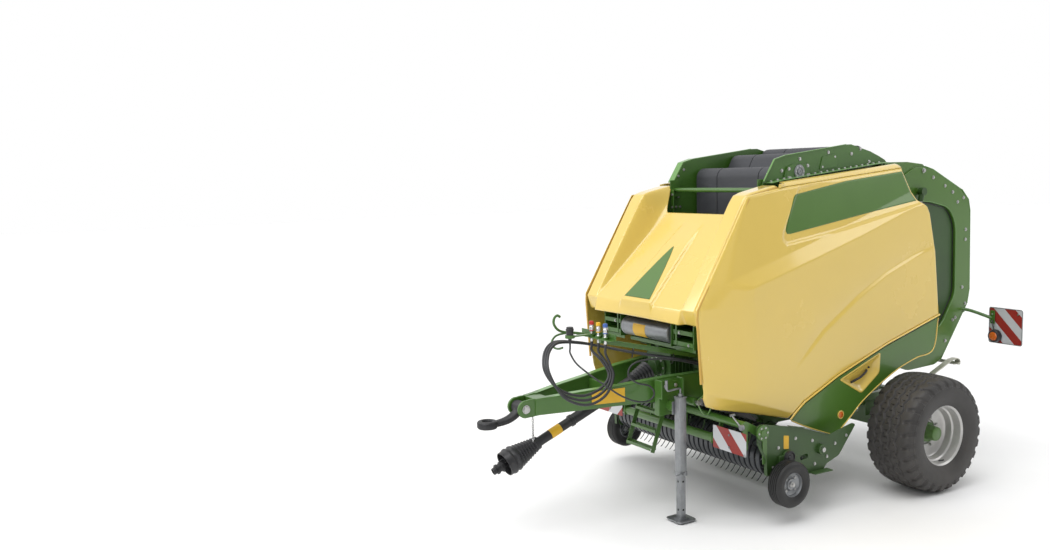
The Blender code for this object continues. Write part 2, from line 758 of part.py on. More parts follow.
# ---- wheels ----
def tyre_profile(width, radius, rim_radius, rim_half):
    """A closed tyre section, clockwise in (x, radius), with its bead on the rim."""
    shoulder = radius - 0.12 * (radius - rim_radius)
    bulge = rim_radius + 0.50 * (radius - rim_radius)
    half = [
        (rim_half, rim_radius),
        (rim_half, rim_radius + 0.10 * (radius - rim_radius)),
        (width / 2 * 0.965, rim_radius + 0.26 * (radius - rim_radius)),
        (width / 2, bulge),
        (width / 2 * 0.86, shoulder + 0.03 * (radius - rim_radius)),
        (width / 2 * 0.55, radius * 0.993),
        (0, radius),
    ]
    return half + [(-x, r) for x, r in reversed(half[:-1])]


def rim_profile(rim_radius, rim_half, flange, disc_x, hub_radius):
    """A rim with its disc, as one closed section."""
    wall = 0.010
    outer = rim_radius - GAP
    lip = rim_half + GAP
    return [
        (lip + wall, flange),
        (lip, flange),
        (lip, outer),
        (-lip, outer),
        (-lip, flange),
        (-lip - wall, flange),
        (-lip - wall, outer - wall),
        (disc_x - wall, outer - 0.03),
        (disc_x - wall, hub_radius),
        (disc_x + wall, hub_radius),
        (disc_x + wall, outer - 0.03),
        (lip + wall, outer - wall),
    ]


def main_wheels(rubber, zinc, bodies):
    for side in (1, -1):
        centre = Vector((WHEEL_X * side, 0, AXLE_Z))
        rim_half = 0.195
        profile = tyre_profile(WHEEL_WIDTH, WHEEL_RADIUS, RIM_RADIUS, rim_half)
        part("tyre_" + side_name(side), turned(profile, centre, 28), rubber, bodies[side])
        profile = rim_profile(RIM_RADIUS, rim_half, 0.284, 0.02 * side, 0.07)
        rim = turned(profile, centre, 28)
        inner = centre - Vector((0.10 * side, 0, 0))
        outer = centre + Vector((0.12 * side, 0, 0))
        hub = rod(inner, outer, 0.105, 20, 0.075)
        blind = centre + Vector((0.05 * side, 0, 0))
        bore = rod(inner - Vector((0.1 * side, 0, 0)), blind, 0.042, 16)
        part("rim_" + side_name(side), cut(fuse([rim, hub]), [bore]), zinc, bodies[side])


def gauge_wheels(rubber, bodies):
    for side in (1, -1):
        centre = Vector((GAUGE_X * side, GAUGE_Y, GAUGE_Z))
        half = GAUGE_WIDTH / 2
        profile = tyre_profile(GAUGE_WIDTH, GAUGE_RADIUS, 0.098, half * 0.62)
        tyre = turned(profile, centre, 20)
        disc = rod(centre - Vector((half * 0.5, 0, 0)), centre + Vector((half * 0.5, 0, 0)), 0.11, 20)
        hub_end = centre + Vector((half * 0.8 * side, 0, 0))
        hub = rod(centre, hub_end, 0.035, 16)
        inner = centre - Vector((half * 1.2 * side, 0, 0))
        bore = rod(inner, centre + Vector((half * 0.3 * side, 0, 0)), 0.0165, 12)
        shape = cut(fuse([tyre, disc, hub]), [bore])
        part("gauge_wheel_" + side_name(side), shape, rubber, bodies[side])


# ---- pickup ----
def pickup_frame(finish, body):
    shapes = []
    side_outline = [
        (-1.93, 0.83),
        (-1.60, 0.79),
        (-1.40, 0.742),
        (-1.09, 0.635),
        (-0.76, 0.695),
        (-0.967, 0.436),
        (-1.122, 0.385),
        (-1.17, 0.33),
        (-1.55, 0.33),
        (-1.83, 0.40),
        (-1.90, 0.68),
    ]
    for side in (1, -1):
        x = 1.036 * side
        shapes.append(plate(side_outline, x, 0.012))
        axle_start = Vector((1.03 * side, GAUGE_Y, GAUGE_Z))
        axle_end = Vector((1.155 * side, GAUGE_Y, GAUGE_Z))
        shapes.append(rod(axle_start, axle_end, 0.016, 12))
        shapes.append(box((1.048 * side, GAUGE_Y + 0.02, 0.43), (0.02, 0.09, 0.24)))
        shapes.append(rod((1.03 * side, *GUARD_PIVOT.yz), (1.048 * side, *GUARD_PIVOT.yz), 0.07, 16))
        step = box((1.075 * side, -1.22, 0.335), (0.07, 0.20, 0.02))
        shapes.append(step)
    shapes.append(rod((-1.035, -1.16, 0.42), (1.035, -1.16, 0.42), 0.045, 12))
    shapes.append(rod((-1.035, -1.42, 0.66), (-0.66, -1.42, 0.66), 0.05, 12))
    shapes.append(rod((0.66, -1.42, 0.66), (1.035, -1.42, 0.66), 0.05, 12))
    part("pickup_frame", fuse(shapes), finish, body)


def pickup_bands(finish, body):
    centre = (REEL_CENTRE.y, REEL_CENTRE.z)
    path = [(-1.36, 0.50), (-1.47, 0.36)] + arc(centre, BAND_RADIUS, -75, -270, 6)
    path += [(-1.49, 0.715)]
    outline = ribbon(path, 0.010)
    pitch = 2 * PICKUP_HALF / BAND_COUNT
    strips = []
    for i in range(BAND_COUNT):
        x = -PICKUP_HALF + (i + 0.5) * pitch
        strips.append(plate(outline, x, pitch - 0.026))
    half = PICKUP_HALF + 0.03 - GAP
    strips.append(box((0, -1.405, 0.45), (2 * half, 0.03, 0.05)))
    part("pickup_bands", fuse(strips), finish, body)


def tine_reel(finish, body):
    half = PICKUP_HALF + 0.025
    y, z = REEL_CENTRE.y, REEL_CENTRE.z
    shapes = [rod((-half, y, z), (half, y, z), 0.035, 12)]
    pitch = 2 * PICKUP_HALF / BAND_COUNT
    for bar in range(4):
        angle = math.radians(90 * bar + 58)
        out = Vector((0, math.cos(angle), math.sin(angle)))
        place = REEL_CENTRE + out * 0.11
        shapes.append(rod(place - Vector((half, 0, 0)), place + Vector((half, 0, 0)), 0.014, 6))
        for i in range(1, BAND_COUNT):
            x = -PICKUP_HALF + i * pitch
            start = REEL_CENTRE + out * 0.105 + Vector((x, 0, 0))
            end = REEL_CENTRE + out * TINE_REACH + Vector((x, 0, 0))
            shapes.append(rod(start, end, 0.0045, 3, 0.003))
    for x in (-half + 0.01, 0.0, half - 0.01):
        shapes.append(rod((x - 0.004, y, z), (x + 0.004, y, z), 0.122, 16))
    part("tine_reel", fuse(shapes), finish, body)


def wind_guard(finish, hatch, body):
    shapes = []
    for side in (1, -1):
        x = 0.985 * side
        pivot = (x, GUARD_PIVOT.y, GUARD_PIVOT.z)
        shapes.append(beam(pivot, (x, -2.02, 0.84), 0.02, 0.06))
        shapes.append(beam((x, -2.02, 0.86), (x, -2.03, 0.63), 0.02, 0.06))
        shapes.append(rod((0.965 * side, *GUARD_PIVOT.yz), ((1.03 - GAP) * side, *GUARD_PIVOT.yz), 0.03))
    shapes.append(rod((-0.99, -2.02, 0.845), (0.99, -2.02, 0.845), 0.034, 12))
    shapes.append(rod((-0.99, -2.025, 0.66), (0.99, -2.025, 0.66), 0.040, 12))
    part("wind_guard", fuse(shapes), finish, body)
    for side in (1, -1):
        board = box((0.85 * side, -2.071, 0.695), (0.40, 0.010, 0.20))
        part("warning_plate_" + side_name(side), board, hatch, body)


# ---- jack ----
def jack(zinc, outer_body, leg_body):
    wide, wall = 0.075, 0.006
    height = JACK_TOP - JACK_SLEEVE_BOTTOM
    sleeve = box((JACK_X, JACK_Y, JACK_TOP - height / 2), (wide, wide, height))
    bore = box((JACK_X, JACK_Y, JACK_TOP - height / 2 - 0.05), (wide - 2 * wall,) * 2 + (height,))
    part("jack_sleeve", cut(sleeve, [bore]), zinc, outer_body)
    narrow = wide - 2 * wall - 0.002
    tube = box((JACK_X, JACK_Y, 0.405), (narrow, narrow, 0.79))
    foot = box((JACK_X, JACK_Y, 0.006), (0.20, 0.20, 0.012))
    part("jack_leg", fuse([tube, foot]), zinc, leg_body)


def main():
    green = finish_material("green_paint", GREEN)
    cream = finish_material("cream_paint", CREAM)
    dark_green = finish_material("dark_green_paint", DARK_GREEN)
    rubber = finish_material("rubber", RUBBER)
    belting = finish_material("belting", BELTING)
    zinc = finish_material("zinc", ZINC)
    steel = finish_material("dark_steel", STEEL)
    black = finish_material("black_plastic", BLACK)
    hatch = finish_material("warning_board", HATCH)

    chassis = new_body("chassis")
    chassis_frame(green, chassis)
    chamber_walls(green, chassis)
    axle(green, chassis)
    drawbar(green, chassis)
    hitch_eye(steel, chassis)
    gearbox(dark_green, chassis)
    pto_shaft(steel, black, chassis)
    belts_and_rollers(belting, steel, chassis)
    net_roll(zinc, chassis)
    net_box(green, chassis)
    lower_skirts(green, chassis)
    hose_holder(green, chassis)
    hoses(black, chassis)
    electric_cable(black, chassis)
    ladder(green, chassis)
    bale_ramp(zinc, chassis)

    front_hood(cream, new_body("front_hood", HOOD_PIVOT))
    doors = {s: new_body("side_door_" + side_name(s), (DOOR_PIVOT.x * s, *DOOR_PIVOT.yz)) for s in (1, -1)}
    side_doors(cream, doors)

    tailgate(green, belting, steel, hatch, new_body("tailgate", TAIL_PIVOT))
    barrels = {}
    rods = {}
    for side in (1, -1):
        base = (CYLINDER_BASE.x * side, *CYLINDER_BASE.yz)
        eye = (CYLINDER_EYE.x * side, *CYLINDER_EYE.yz)
        barrels[side] = new_body("cylinder_barrel_" + side_name(side), base)
        rods[side] = new_body("cylinder_rod_" + side_name(side), eye)
    tailgate_cylinders(green, zinc, (barrels, rods))

    wheels = {s: new_body("wheel_" + side_name(s), (WHEEL_X * s, 0, AXLE_Z)) for s in (1, -1)}
    main_wheels(rubber, zinc, wheels)

    pickup = new_body("pickup", PICKUP_PIVOT)
    pickup_frame(dark_green, pickup)
    pickup_bands(black, pickup)
    tine_reel(steel, new_body("tine_reel", REEL_CENTRE))
    wind_guard(green, hatch, new_body("wind_guard", GUARD_PIVOT))
    gauges = {s: new_body("gauge_wheel_" + side_name(s), (GAUGE_X * s, GAUGE_Y, GAUGE_Z)) for s in (1, -1)}
    gauge_wheels(rubber, gauges)

    jack(zinc, new_body("jack_sleeve", JACK_PIVOT), new_body("jack_leg", JACK_PIVOT))


clear_scene()
PARTS = new_collection("round_baler")
WORKSHOP = new_collection("workshop")
WORKSHOP.hide_render = True
ROOT = bpy.data.objects.new("baler_origin", None)
PARTS.objects.link(ROOT)
ROOT.location = (0, AXLE_TO_ORIGIN, 0)
main()
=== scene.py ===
"""Looks of the round baler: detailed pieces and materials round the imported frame.

Shapes below are given in metres from the point on the floor under the axle, +Z up, +Y to the
rear, +X to the machine's left; every piece is then moved by AXLE_TO_ORIGIN into the frame.
"""

import math

import bmesh
import bpy
import numpy as np
from mathutils import Matrix, Vector


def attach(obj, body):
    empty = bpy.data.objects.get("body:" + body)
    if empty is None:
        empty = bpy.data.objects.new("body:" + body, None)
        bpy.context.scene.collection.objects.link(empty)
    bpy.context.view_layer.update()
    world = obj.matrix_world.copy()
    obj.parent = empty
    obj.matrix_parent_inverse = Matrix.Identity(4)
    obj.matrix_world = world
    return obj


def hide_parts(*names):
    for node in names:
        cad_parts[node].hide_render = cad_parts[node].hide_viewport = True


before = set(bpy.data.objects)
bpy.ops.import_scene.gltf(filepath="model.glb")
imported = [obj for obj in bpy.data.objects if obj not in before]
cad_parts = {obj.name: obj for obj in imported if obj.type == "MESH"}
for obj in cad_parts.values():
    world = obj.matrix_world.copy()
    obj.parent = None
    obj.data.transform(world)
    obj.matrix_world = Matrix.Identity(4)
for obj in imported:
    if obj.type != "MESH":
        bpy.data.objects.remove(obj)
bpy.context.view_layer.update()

AXLE_TO_ORIGIN = 1.32
WHEEL_X, WHEEL_Z = 1.167, 0.53
CYLINDER_EYE_Y, CYLINDER_EYE_Z = 0.5, 2.7
GAUGE_X, GAUGE_Y, GAUGE_Z = 1.143, -1.68, 0.336
X_AXIS = Vector((1, 0, 0))


# ---- camera ----
CAMERA_PLACE = Vector((6.876, -6.253, 2.944))
CAMERA_YAW = math.radians(59.44)
CAMERA_PITCH = math.radians(-5.84)
CAMERA_ROLL = math.radians(-1.3)
FOCAL_PIXELS, PHOTO_WIDTH = 978.8, 1050.0
camera_data = bpy.data.cameras.new("camera")
camera_data.sensor_width = 36.0
camera_data.lens = camera_data.sensor_width * FOCAL_PIXELS / PHOTO_WIDTH
camera = bpy.data.objects.new("camera", camera_data)
bpy.context.scene.collection.objects.link(camera)
camera.location = CAMERA_PLACE
camera.rotation_mode = "QUATERNION"
look = (Matrix.Rotation(CAMERA_YAW, 3, "Z") @ Matrix.Rotation(math.pi / 2 + CAMERA_PITCH, 3,
    "X") @ Matrix.Rotation(CAMERA_ROLL, 3, "Z"))
camera.rotation_quaternion = look.to_quaternion()
bpy.context.scene.camera = camera


# ---- materials ----
def node(tree, kind, **values):
    made = tree.nodes.new(kind)
    for key, value in values.items():
        if key in made.inputs:
            made.inputs[key].default_value = value
        else:
            setattr(made, key, value)
    return made


def shaded(name, color, rough, metallic=0.0, coat=0.0, mottle=0.06, scale=4.0, grain=0.0, grain_scale=400.0,
        rough_span=0.08, dust=0.0, dust_color=(0.45, 0.4, 0.32), dust_top=1.2, stretch=(1, 1, 1)):
    """A Principled material with uneven colour and roughness, a fine surface grain, and dust low down."""
    made = bpy.data.materials.new(name)
    made.use_nodes = True
    tree = made.node_tree
    shader = tree.nodes["Principled BSDF"]
    shader.inputs["Metallic"].default_value = metallic
    shader.inputs["Coat Weight"].default_value = coat
    shader.inputs["Coat Roughness"].default_value = 0.08
    link = tree.links.new
    place = node(tree, "ShaderNodeTexCoord")
    mapped = node(tree, "ShaderNodeMapping")
    mapped.inputs["Scale"].default_value = stretch
    link(place.outputs["Object"], mapped.inputs["Vector"])
    clouds = node(tree, "ShaderNodeTexNoise", Scale=scale, Detail=6.0, Roughness=0.6)
    link(mapped.outputs["Vector"], clouds.inputs["Vector"])
    low = tuple(c * (1 - mottle) for c in color)
    high = tuple(min(c * (1 + mottle), 1.0) for c in color)
    ramp = node(tree, "ShaderNodeValToRGB")
    ramp.color_ramp.elements[0].position = 0.3
    ramp.color_ramp.elements[1].position = 0.7
    ramp.color_ramp.elements[0].color = (*low, 1)
    ramp.color_ramp.elements[1].color = (*high, 1)
    link(clouds.outputs["Fac"], ramp.inputs["Fac"])
    colour_out = ramp.outputs["Color"]
    spread = node(tree, "ShaderNodeMapRange")
    spread.inputs["To Min"].default_value = max(rough - rough_span, 0.02)
    spread.inputs["To Max"].default_value = min(rough + rough_span, 1.0)
    link(clouds.outputs["Fac"], spread.inputs["Value"])
    rough_out = spread.outputs["Result"]
    if dust:
        split = node(tree, "ShaderNodeSeparateXYZ")
        link(place.outputs["Object"], split.inputs["Vector"])
        fade = node(tree, "ShaderNodeMapRange")
        fade.inputs["From Min"].default_value = 0.0
        fade.inputs["From Max"].default_value = dust_top
        fade.inputs["To Min"].default_value = dust
        fade.inputs["To Max"].default_value = 0.0
        link(split.outputs["Z"], fade.inputs["Value"])
        patchy = node(tree, "ShaderNodeMath", operation="MULTIPLY")
        link(fade.outputs["Result"], patchy.inputs[0])
        link(clouds.outputs["Fac"], patchy.inputs[1])
        mix = node(tree, "ShaderNodeMix", data_type="RGBA")
        link(patchy.outputs["Value"], mix.inputs[0])
        link(colour_out, mix.inputs[6])
        mix.inputs[7].default_value = (*dust_color, 1)
        link(mix.outputs[2], shader.inputs["Base Color"])
    else:
        link(colour_out, shader.inputs["Base Color"])
    link(rough_out, shader.inputs["Roughness"])
    if grain:
        fine = node(tree, "ShaderNodeTexNoise", Scale=grain_scale, Detail=3.0, Roughness=0.7)
        link(mapped.outputs["Vector"], fine.inputs["Vector"])
        bump = node(tree, "ShaderNodeBump", Strength=grain, Distance=0.001)
        link(fine.outputs["Fac"], bump.inputs["Height"])
        link(bump.outputs["Normal"], shader.inputs["Normal"])
    return made


def striped(name, colors, axis, pitch):
    """Diagonal stripes in two colours across the plane of X and Z."""
    made = shaded(name, colors[0], 0.35, mottle=0.03, grain=0.05)
    tree = made.node_tree
    shader = tree.nodes["Principled BSDF"]
    source = shader.inputs["Base Color"].links[0].from_socket
    place = node(tree, "ShaderNodeTexCoord")
    dot = node(tree, "ShaderNodeVectorMath", operation="DOT_PRODUCT")
    dot.inputs[1].default_value = axis
    tree.links.new(place.outputs["Object"], dot.inputs[0])
    wrap = node(tree, "ShaderNodeMath", operation="FRACT")
    scaled = node(tree, "ShaderNodeMath", operation="MULTIPLY")
    scaled.inputs[1].default_value = 1 / pitch
    tree.links.new(dot.outputs["Value"], scaled.inputs[0])
    tree.links.new(scaled.outputs["Value"], wrap.inputs[0])
    step = node(tree, "ShaderNodeMath", operation="GREATER_THAN")
    step.inputs[1].default_value = 0.5
    tree.links.new(wrap.outputs["Value"], step.inputs[0])
    mix = node(tree, "ShaderNodeMix", data_type="RGBA")
    tree.links.new(step.outputs["Value"], mix.inputs[0])
    tree.links.new(source, mix.inputs[6])
    mix.inputs[7].default_value = (*colors[1], 1)
    tree.links.new(mix.outputs[2], shader.inputs["Base Color"])
    return made


CREAM = shaded("cream_panel", (0.725, 0.52, 0.1), 0.26, coat=1.0, mottle=0.02, scale=1.6, grain=0.012,
    grain_scale=90)
CREAM_EDGE = shaded("cream_edge", (0.78, 0.54, 0.1), 0.32, coat=0.4, mottle=0.03)
# a darker yellow copy of the cream: painted shade for the door's front groove and the hood's side flanges
PAINTED_SHADE_YELLOW = shaded("yellow_painted_shade", (0.58, 0.36, 0.07), 0.45, mottle=0.05)
GREEN = shaded("green_paint", (0.052, 0.142, 0.018), 0.36, coat=0.3, mottle=0.1, scale=3.0, grain=0.1,
    grain_scale=160, dust=0.12)
# a lighter copy of the green paint: the green of the door bands, skirts and hood mark, and on the tailgate frame its
# extra lightness is painted light
GREEN_BAND_AND_LIT = shaded("green_band_and_painted_light", (0.066, 0.16, 0.018), 0.33, coat=0.35, mottle=0.05, scale=2.0, grain=0.04)
# a light copy of the green paint: painted highlight on flange tops, edge strips, the tailgate hole's lip, the
# drawbar's top edges and the jack pin loop
GREEN_PAINTED_HIGHLIGHT = shaded("green_painted_highlight", (0.135, 0.3, 0.075), 0.36, coat=0.3, mottle=0.08)
# a dark copy of the green paint: painted shade on parts that sit in shade, with dust low down
GREEN_PAINTED_SHADE = shaded("green_painted_shade", (0.026, 0.072, 0.012), 0.42, coat=0.12, mottle=0.14, scale=3.0, grain=0.12,
    grain_scale=160, dust=0.05)
BELT = shaded("belting", (0.05, 0.052, 0.06), 0.62, mottle=0.16, scale=5.0, grain=0.9, grain_scale=260,
    stretch=(0.25, 1, 1))
TYRE = shaded("tyre_rubber", (0.03, 0.029, 0.029), 0.56, mottle=0.22, scale=5.0, grain=0.25, grain_scale=120,
    dust=0.34, dust_color=(0.16, 0.14, 0.12), dust_top=1.5)
GAUGE_TYRE = shaded("gauge_tyre_rubber", (0.014, 0.014, 0.014), 0.48, mottle=0.2, scale=9.0, grain=0.3,
    grain_scale=150)
RUBBER = shaded("hose_rubber", (0.03, 0.031, 0.034), 0.42, mottle=0.15, scale=20, grain=0.25, grain_scale=700)
PLASTIC = shaded("black_plastic", (0.022, 0.022, 0.024), 0.4, mottle=0.15, scale=12, grain=0.25,
    grain_scale=300)
ZINC = shaded("galvanised", (0.27, 0.28, 0.29), 0.42, metallic=0.75, mottle=0.16, scale=14, grain=0.5,
    grain_scale=60, rough_span=0.14)
SILVER = shaded("silver_paint", (0.56, 0.555, 0.545), 0.36, metallic=0.55, coat=0.2, mottle=0.1, scale=8,
    grain=0.15, grain_scale=120, dust=0.2)
GALVANISED_PALE = shaded("galvanised_pale", (0.5, 0.5, 0.42), 0.5, metallic=0.25, mottle=0.12, scale=12,
    grain=0.3, grain_scale=80)
CHROME = shaded("plated_steel", (0.62, 0.62, 0.62), 0.2, metallic=1.0, mottle=0.05, scale=30)
BOLT = shaded("plated_bolt", (0.5, 0.5, 0.49), 0.34, metallic=0.9, mottle=0.12, scale=60)
FORGED = shaded("forged_steel", (0.04, 0.04, 0.042), 0.48, metallic=0.6, mottle=0.25, scale=18, grain=0.6,
    grain_scale=140)
BAND_STEEL = shaded("band_steel", (0.052, 0.056, 0.062), 0.3, metallic=0.5, coat=0.2, mottle=0.2, scale=12,
    grain=0.15)
# near black: painted shade inside the jack leg's holes
PAINTED_SHADE_BLACK = shaded("black_painted_shade", (0.01, 0.011, 0.01), 0.8, mottle=0.3)
LABEL = shaded("yellow_label", (0.72, 0.42, 0.02), 0.42, mottle=0.05, scale=12)
ORANGE = shaded("orange_lens", (0.65, 0.14, 0.02), 0.15, coat=0.8, mottle=0.08, scale=60)
RED_CAP = shaded("red_cap", (0.5, 0.03, 0.02), 0.4, mottle=0.06)
YELLOW_CAP = shaded("yellow_cap", (0.8, 0.47, 0.02), 0.4, mottle=0.06)
BLUE_CAP = shaded("blue_cap", (0.05, 0.12, 0.4), 0.4, mottle=0.06)
HAZARD_COLORS = ((0.27, 0.026, 0.02), (0.52, 0.53, 0.55))
LAMP_COLORS = ((0.32, 0.028, 0.022), (0.55, 0.56, 0.58))
STRIPES = {side: striped("red_white_" + name, HAZARD_COLORS, (0.7071 * side, 0, 0.7071), 0.21) for side,
    name in ((1, "left"), (-1, "right"))}
LAMP_STRIPES = {side: striped("lamp_red_white_" + name, LAMP_COLORS, (0.7071 * side, 0, 0.7071),
    0.165) for side, name in ((1, "left"), (-1, "right"))}


# ---- mesh building ----
def piece(name, work, material, body, bevel=0.0, segments=2, smooth=35, replaces=()):
    """Closes a bmesh into a named piece that rides on a body."""
    bmesh.ops.recalc_face_normals(work, faces=work.faces)
    mesh = bpy.data.meshes.new(name)
    work.to_mesh(mesh)
    work.free()
    return dressed(name, mesh, material, body, bevel, segments, smooth, replaces)


def dressed(name, mesh, material, body, bevel=0.0, segments=2, smooth=35, replaces=()):
    """Moves a mesh into the frame as a piece with its material, shading, bevel and body, and hides the parts it
    replaces.
    """
    mesh.transform(Matrix.Translation((0, AXLE_TO_ORIGIN, 0)))
    mesh.materials.append(material)
    obj = bpy.data.objects.new(name, mesh)
    bpy.context.scene.collection.objects.link(obj)
    mesh.shade_smooth()
    mesh.set_sharp_from_angle(angle=math.radians(smooth))
    if bevel:
        edge = obj.modifiers.new("edge", "BEVEL")
        edge.width = bevel
        edge.segments = segments
        edge.limit_method = "ANGLE"
        edge.angle_limit = math.radians(40)
    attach(obj, body)
    if replaces:
        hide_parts(*replaces)
    return obj


def add_box(work, centre, size, turn=None):
    place = Matrix.Translation(centre) @ (turn or Matrix()) @ Matrix.Diagonal((*size, 1.0))
    return bmesh.ops.create_cube(work, size=1.0, matrix=place)["verts"]


def frame_along(start, end):
    along = (end - start).normalized()
    side = along.cross(Vector((0, 0, 1)))
    side = side.normalized() if side.length > 1e-6 else Vector((1, 0, 0))
    return Matrix((side, along, side.cross(along))).transposed().to_4x4()


def add_beam(work, start, end, width, height):
    start, end = Vector(start), Vector(end)
    return add_box(work, (start + end) / 2, (width, (end - start).length, height), frame_along(start, end))


def add_rod(work, start, end, radius, sides=20):
    start, end = Vector(start), Vector(end)
    along = end - start
    turn = Vector((0, 0, 1)).rotation_difference(along).to_matrix().to_4x4()
    bmesh.ops.create_cone(work, cap_ends=True, segments=sides, radius1=radius, radius2=radius,
        depth=along.length, matrix=Matrix.Translation((start + end) / 2) @ turn)


def add_x_rod(work, first, last, y, z, radius, sides=20):
    """A rod across the machine, from x first to x last."""
    add_rod(work, (first, y, z), (last, y, z), radius, sides)


def add_bolt(work, place, axis, radius=0.011, height=0.008, washer=True):
    """A hexagon head on a washer."""
    place, axis = Vector(place), Vector(axis).normalized()
    if washer:
        add_rod(work, place - axis * 0.002, place + axis * 0.003, radius * 1.45, 14)
    add_rod(work, place, place + axis * height, radius, 6)


def add_bolt_circle(work, centre, spread, count, side, radius, height, start=0.0, washer=True):
    """Bolts round a centre, all facing outwards along X."""
    for k in range(count):
        a = 2 * math.pi * (k + start) / count
        place = Vector(centre) + Vector((0, spread * math.cos(a), spread * math.sin(a)))
        add_bolt(work, place, (side, 0, 0), radius, height, washer)


def add_plate(work, outline, x, thickness, holes=()):
    """A flat plate across X from an outline of (y, z) points, with optional holes."""
    loops = [outline, *holes]
    if not holes:
        faces = []
        for shift in (-thickness / 2, thickness / 2):
            faces.append([work.verts.new((x + shift, y, z)) for y, z in outline])
        work.faces.new(faces[0])
        work.faces.new(list(reversed(faces[1])))
        count = len(outline)
        for i in range(count):
            j = (i + 1) % count
            work.faces.new((faces[0][i], faces[1][i], faces[1][j], faces[0][j]))
        return
    flat = bmesh.new()
    edges = []
    for loop in loops:
        verts = [flat.verts.new((x - thickness / 2, y, z)) for y, z in loop]
        edges += [flat.edges.new((a, b)) for a, b in zip(verts, verts[1:] + verts[:1])]
    bmesh.ops.triangle_fill(flat, use_beauty=True, use_dissolve=True, edges=edges)
    made = bmesh.ops.extrude_face_region(flat, geom=list(flat.faces))
    moved = [v for v in made["geom"] if isinstance(v, bmesh.types.BMVert)]
    bmesh.ops.translate(flat, verts=moved, vec=(thickness, 0, 0))
    bmesh.ops.recalc_face_normals(flat, faces=flat.faces)
    add_mesh(work, flat)


def add_mesh(work, other, place=None):
    """Copies another bmesh into work, and frees it."""
    mesh = bpy.data.meshes.new("copy")
    other.to_mesh(mesh)
    other.free()
    if place is not None:
        mesh.transform(place)
    work.from_mesh(mesh)
    bpy.data.meshes.remove(mesh)


def rounded(outline, radius, steps=4):
    """The outline with its corners rounded; radius is one number, or one for each corner."""
    radii = radius if isinstance(radius, (list, tuple)) else [radius] * len(outline)
    made = []
    for i, corner in enumerate(outline):
        here = Vector(corner)
        before = Vector(outline[i - 1])
        after = Vector(outline[(i + 1) % len(outline)])
        if radii[i] <= 0:
            made.append(tuple(here))
            continue
        reach = min(radii[i], (before - here).length * 0.45, (after - here).length * 0.45)
        first = here + (before - here).normalized() * reach
        last = here + (after - here).normalized() * reach
        for k in range(steps + 1):
            t = k / steps
            made.append(tuple(first * (1 - t) ** 2 + here * 2 * t * (1 - t) + last * t**2))
    return made


def smooth_path(points, spacing):
    """Points every spacing along a Catmull-Rom curve through points."""
    points = [Vector(p) for p in points]
    ends = [2 * points[0] - points[1]] + points + [2 * points[-1] - points[-2]]
    fine = []
    for a, b, c, d in zip(ends, ends[1:], ends[2:], ends[3:]):
        for i in range(24):
            t = i / 24
            curve = (2 * a - 5 * b + 4 * c - d) * t**2
            fine.append(0.5 * (2 * b + (c - a) * t + curve) + 0.5 * (3 * b - a - 3 * c + d) * t**3)
    fine.append(points[-1])
    total = sum((q - p).length for p, q in zip(fine, fine[1:]))
    count = max(round(total / spacing), 2)
    placed, walked, target = [fine[0]], 0.0, total / count
    for p, q in zip(fine, fine[1:]):
        step = (q - p).length
        while walked + step >= target and len(placed) < count:
            placed.append(p.lerp(q, (target - walked) / step))
            target += total / count
        walked += step
    placed.append(fine[-1])
    return placed


def loft(work, rings, closed=False):
    """Quads between neighbouring rings of vertices, with a cap at each end unless the rings close up."""
    for first, second in list(zip(rings, rings[1:])) + ([(rings[-1], rings[0])] if closed else []):
        for k in range(len(first)):
            j = (k + 1) % len(first)
            work.faces.new((first[k], first[j], second[j], second[k]))
    if not closed:
        work.faces.new(list(reversed(rings[0])))
        work.faces.new(rings[-1])


def add_pipe(work, points, radius, sides=12, closed=False, flat=1.0):
    """A tube along points, with rings that don't twist; radius may be one number or one for each point."""
    points = [Vector(p) for p in points]
    count = len(points)
    radii = radius if isinstance(radius, (list, tuple)) else [radius] * count
    side = None
    rings = []
    for i, here in enumerate(points):
        if closed:
            along = points[(i + 1) % count] - points[i - 1]
        else:
            along = points[min(i + 1, count - 1)] - points[max(i - 1, 0)]
        along.normalize()
        if side is None:
            side = along.orthogonal().normalized()
            if abs(along.z) < 0.9:
                side = along.cross(Vector((0, 0, 1))).normalized()
        side = (side - along * side.dot(along)).normalized()
        up = along.cross(side)
        ring = []
        for k in range(sides):
            a = 2 * math.pi * k / sides
            ring.append(work.verts.new(here + (side * math.cos(a) + up * math.sin(a) * flat) * radii[i]))
        rings.append(ring)
    loft(work, rings, closed)


def add_lathe(work, profile, centre, steps, axis=X_AXIS, closed=True):
    """A profile of (along, radius) points turned about an axis through centre."""
    centre, axis = Vector(centre), Vector(axis).normalized()
    side = axis.orthogonal().normalized()
    up = axis.cross(side)
    rings = []
    for k in range(steps):
        a = 2 * math.pi * k / steps
        out = side * math.cos(a) + up * math.sin(a)
        rings.append([work.verts.new(centre + axis * x + out * r) for x, r in profile])
    count = len(profile)
    for k in range(steps):
        first, second = rings[k], rings[(k + 1) % steps]
        for i in range(count if closed else count - 1):
            j = (i + 1) % count
            work.faces.new((first[i], second[i], second[j], first[j]))


def side_name(side):
    return "left" if side > 0 else "right"


def mirrored(points, side):
    return [(p[0] * side, p[1], p[2]) for p in points]


# ---- hoses and cable: routes as in the CAD ----
HOLDER_Y = -2.93
HOSE_TOP = 1.53
HOSE_X = (0.1, 0.2, 0.3)
HOSE_END = Vector((0.44, -1.906, 1.275))
HOSE_SPACING = 0.032
PLUG = (0.1, -3.15)
GAP = 0.0003
HOSE_RADIUS = 0.0115
CABLE_RADIUS = 0.0075


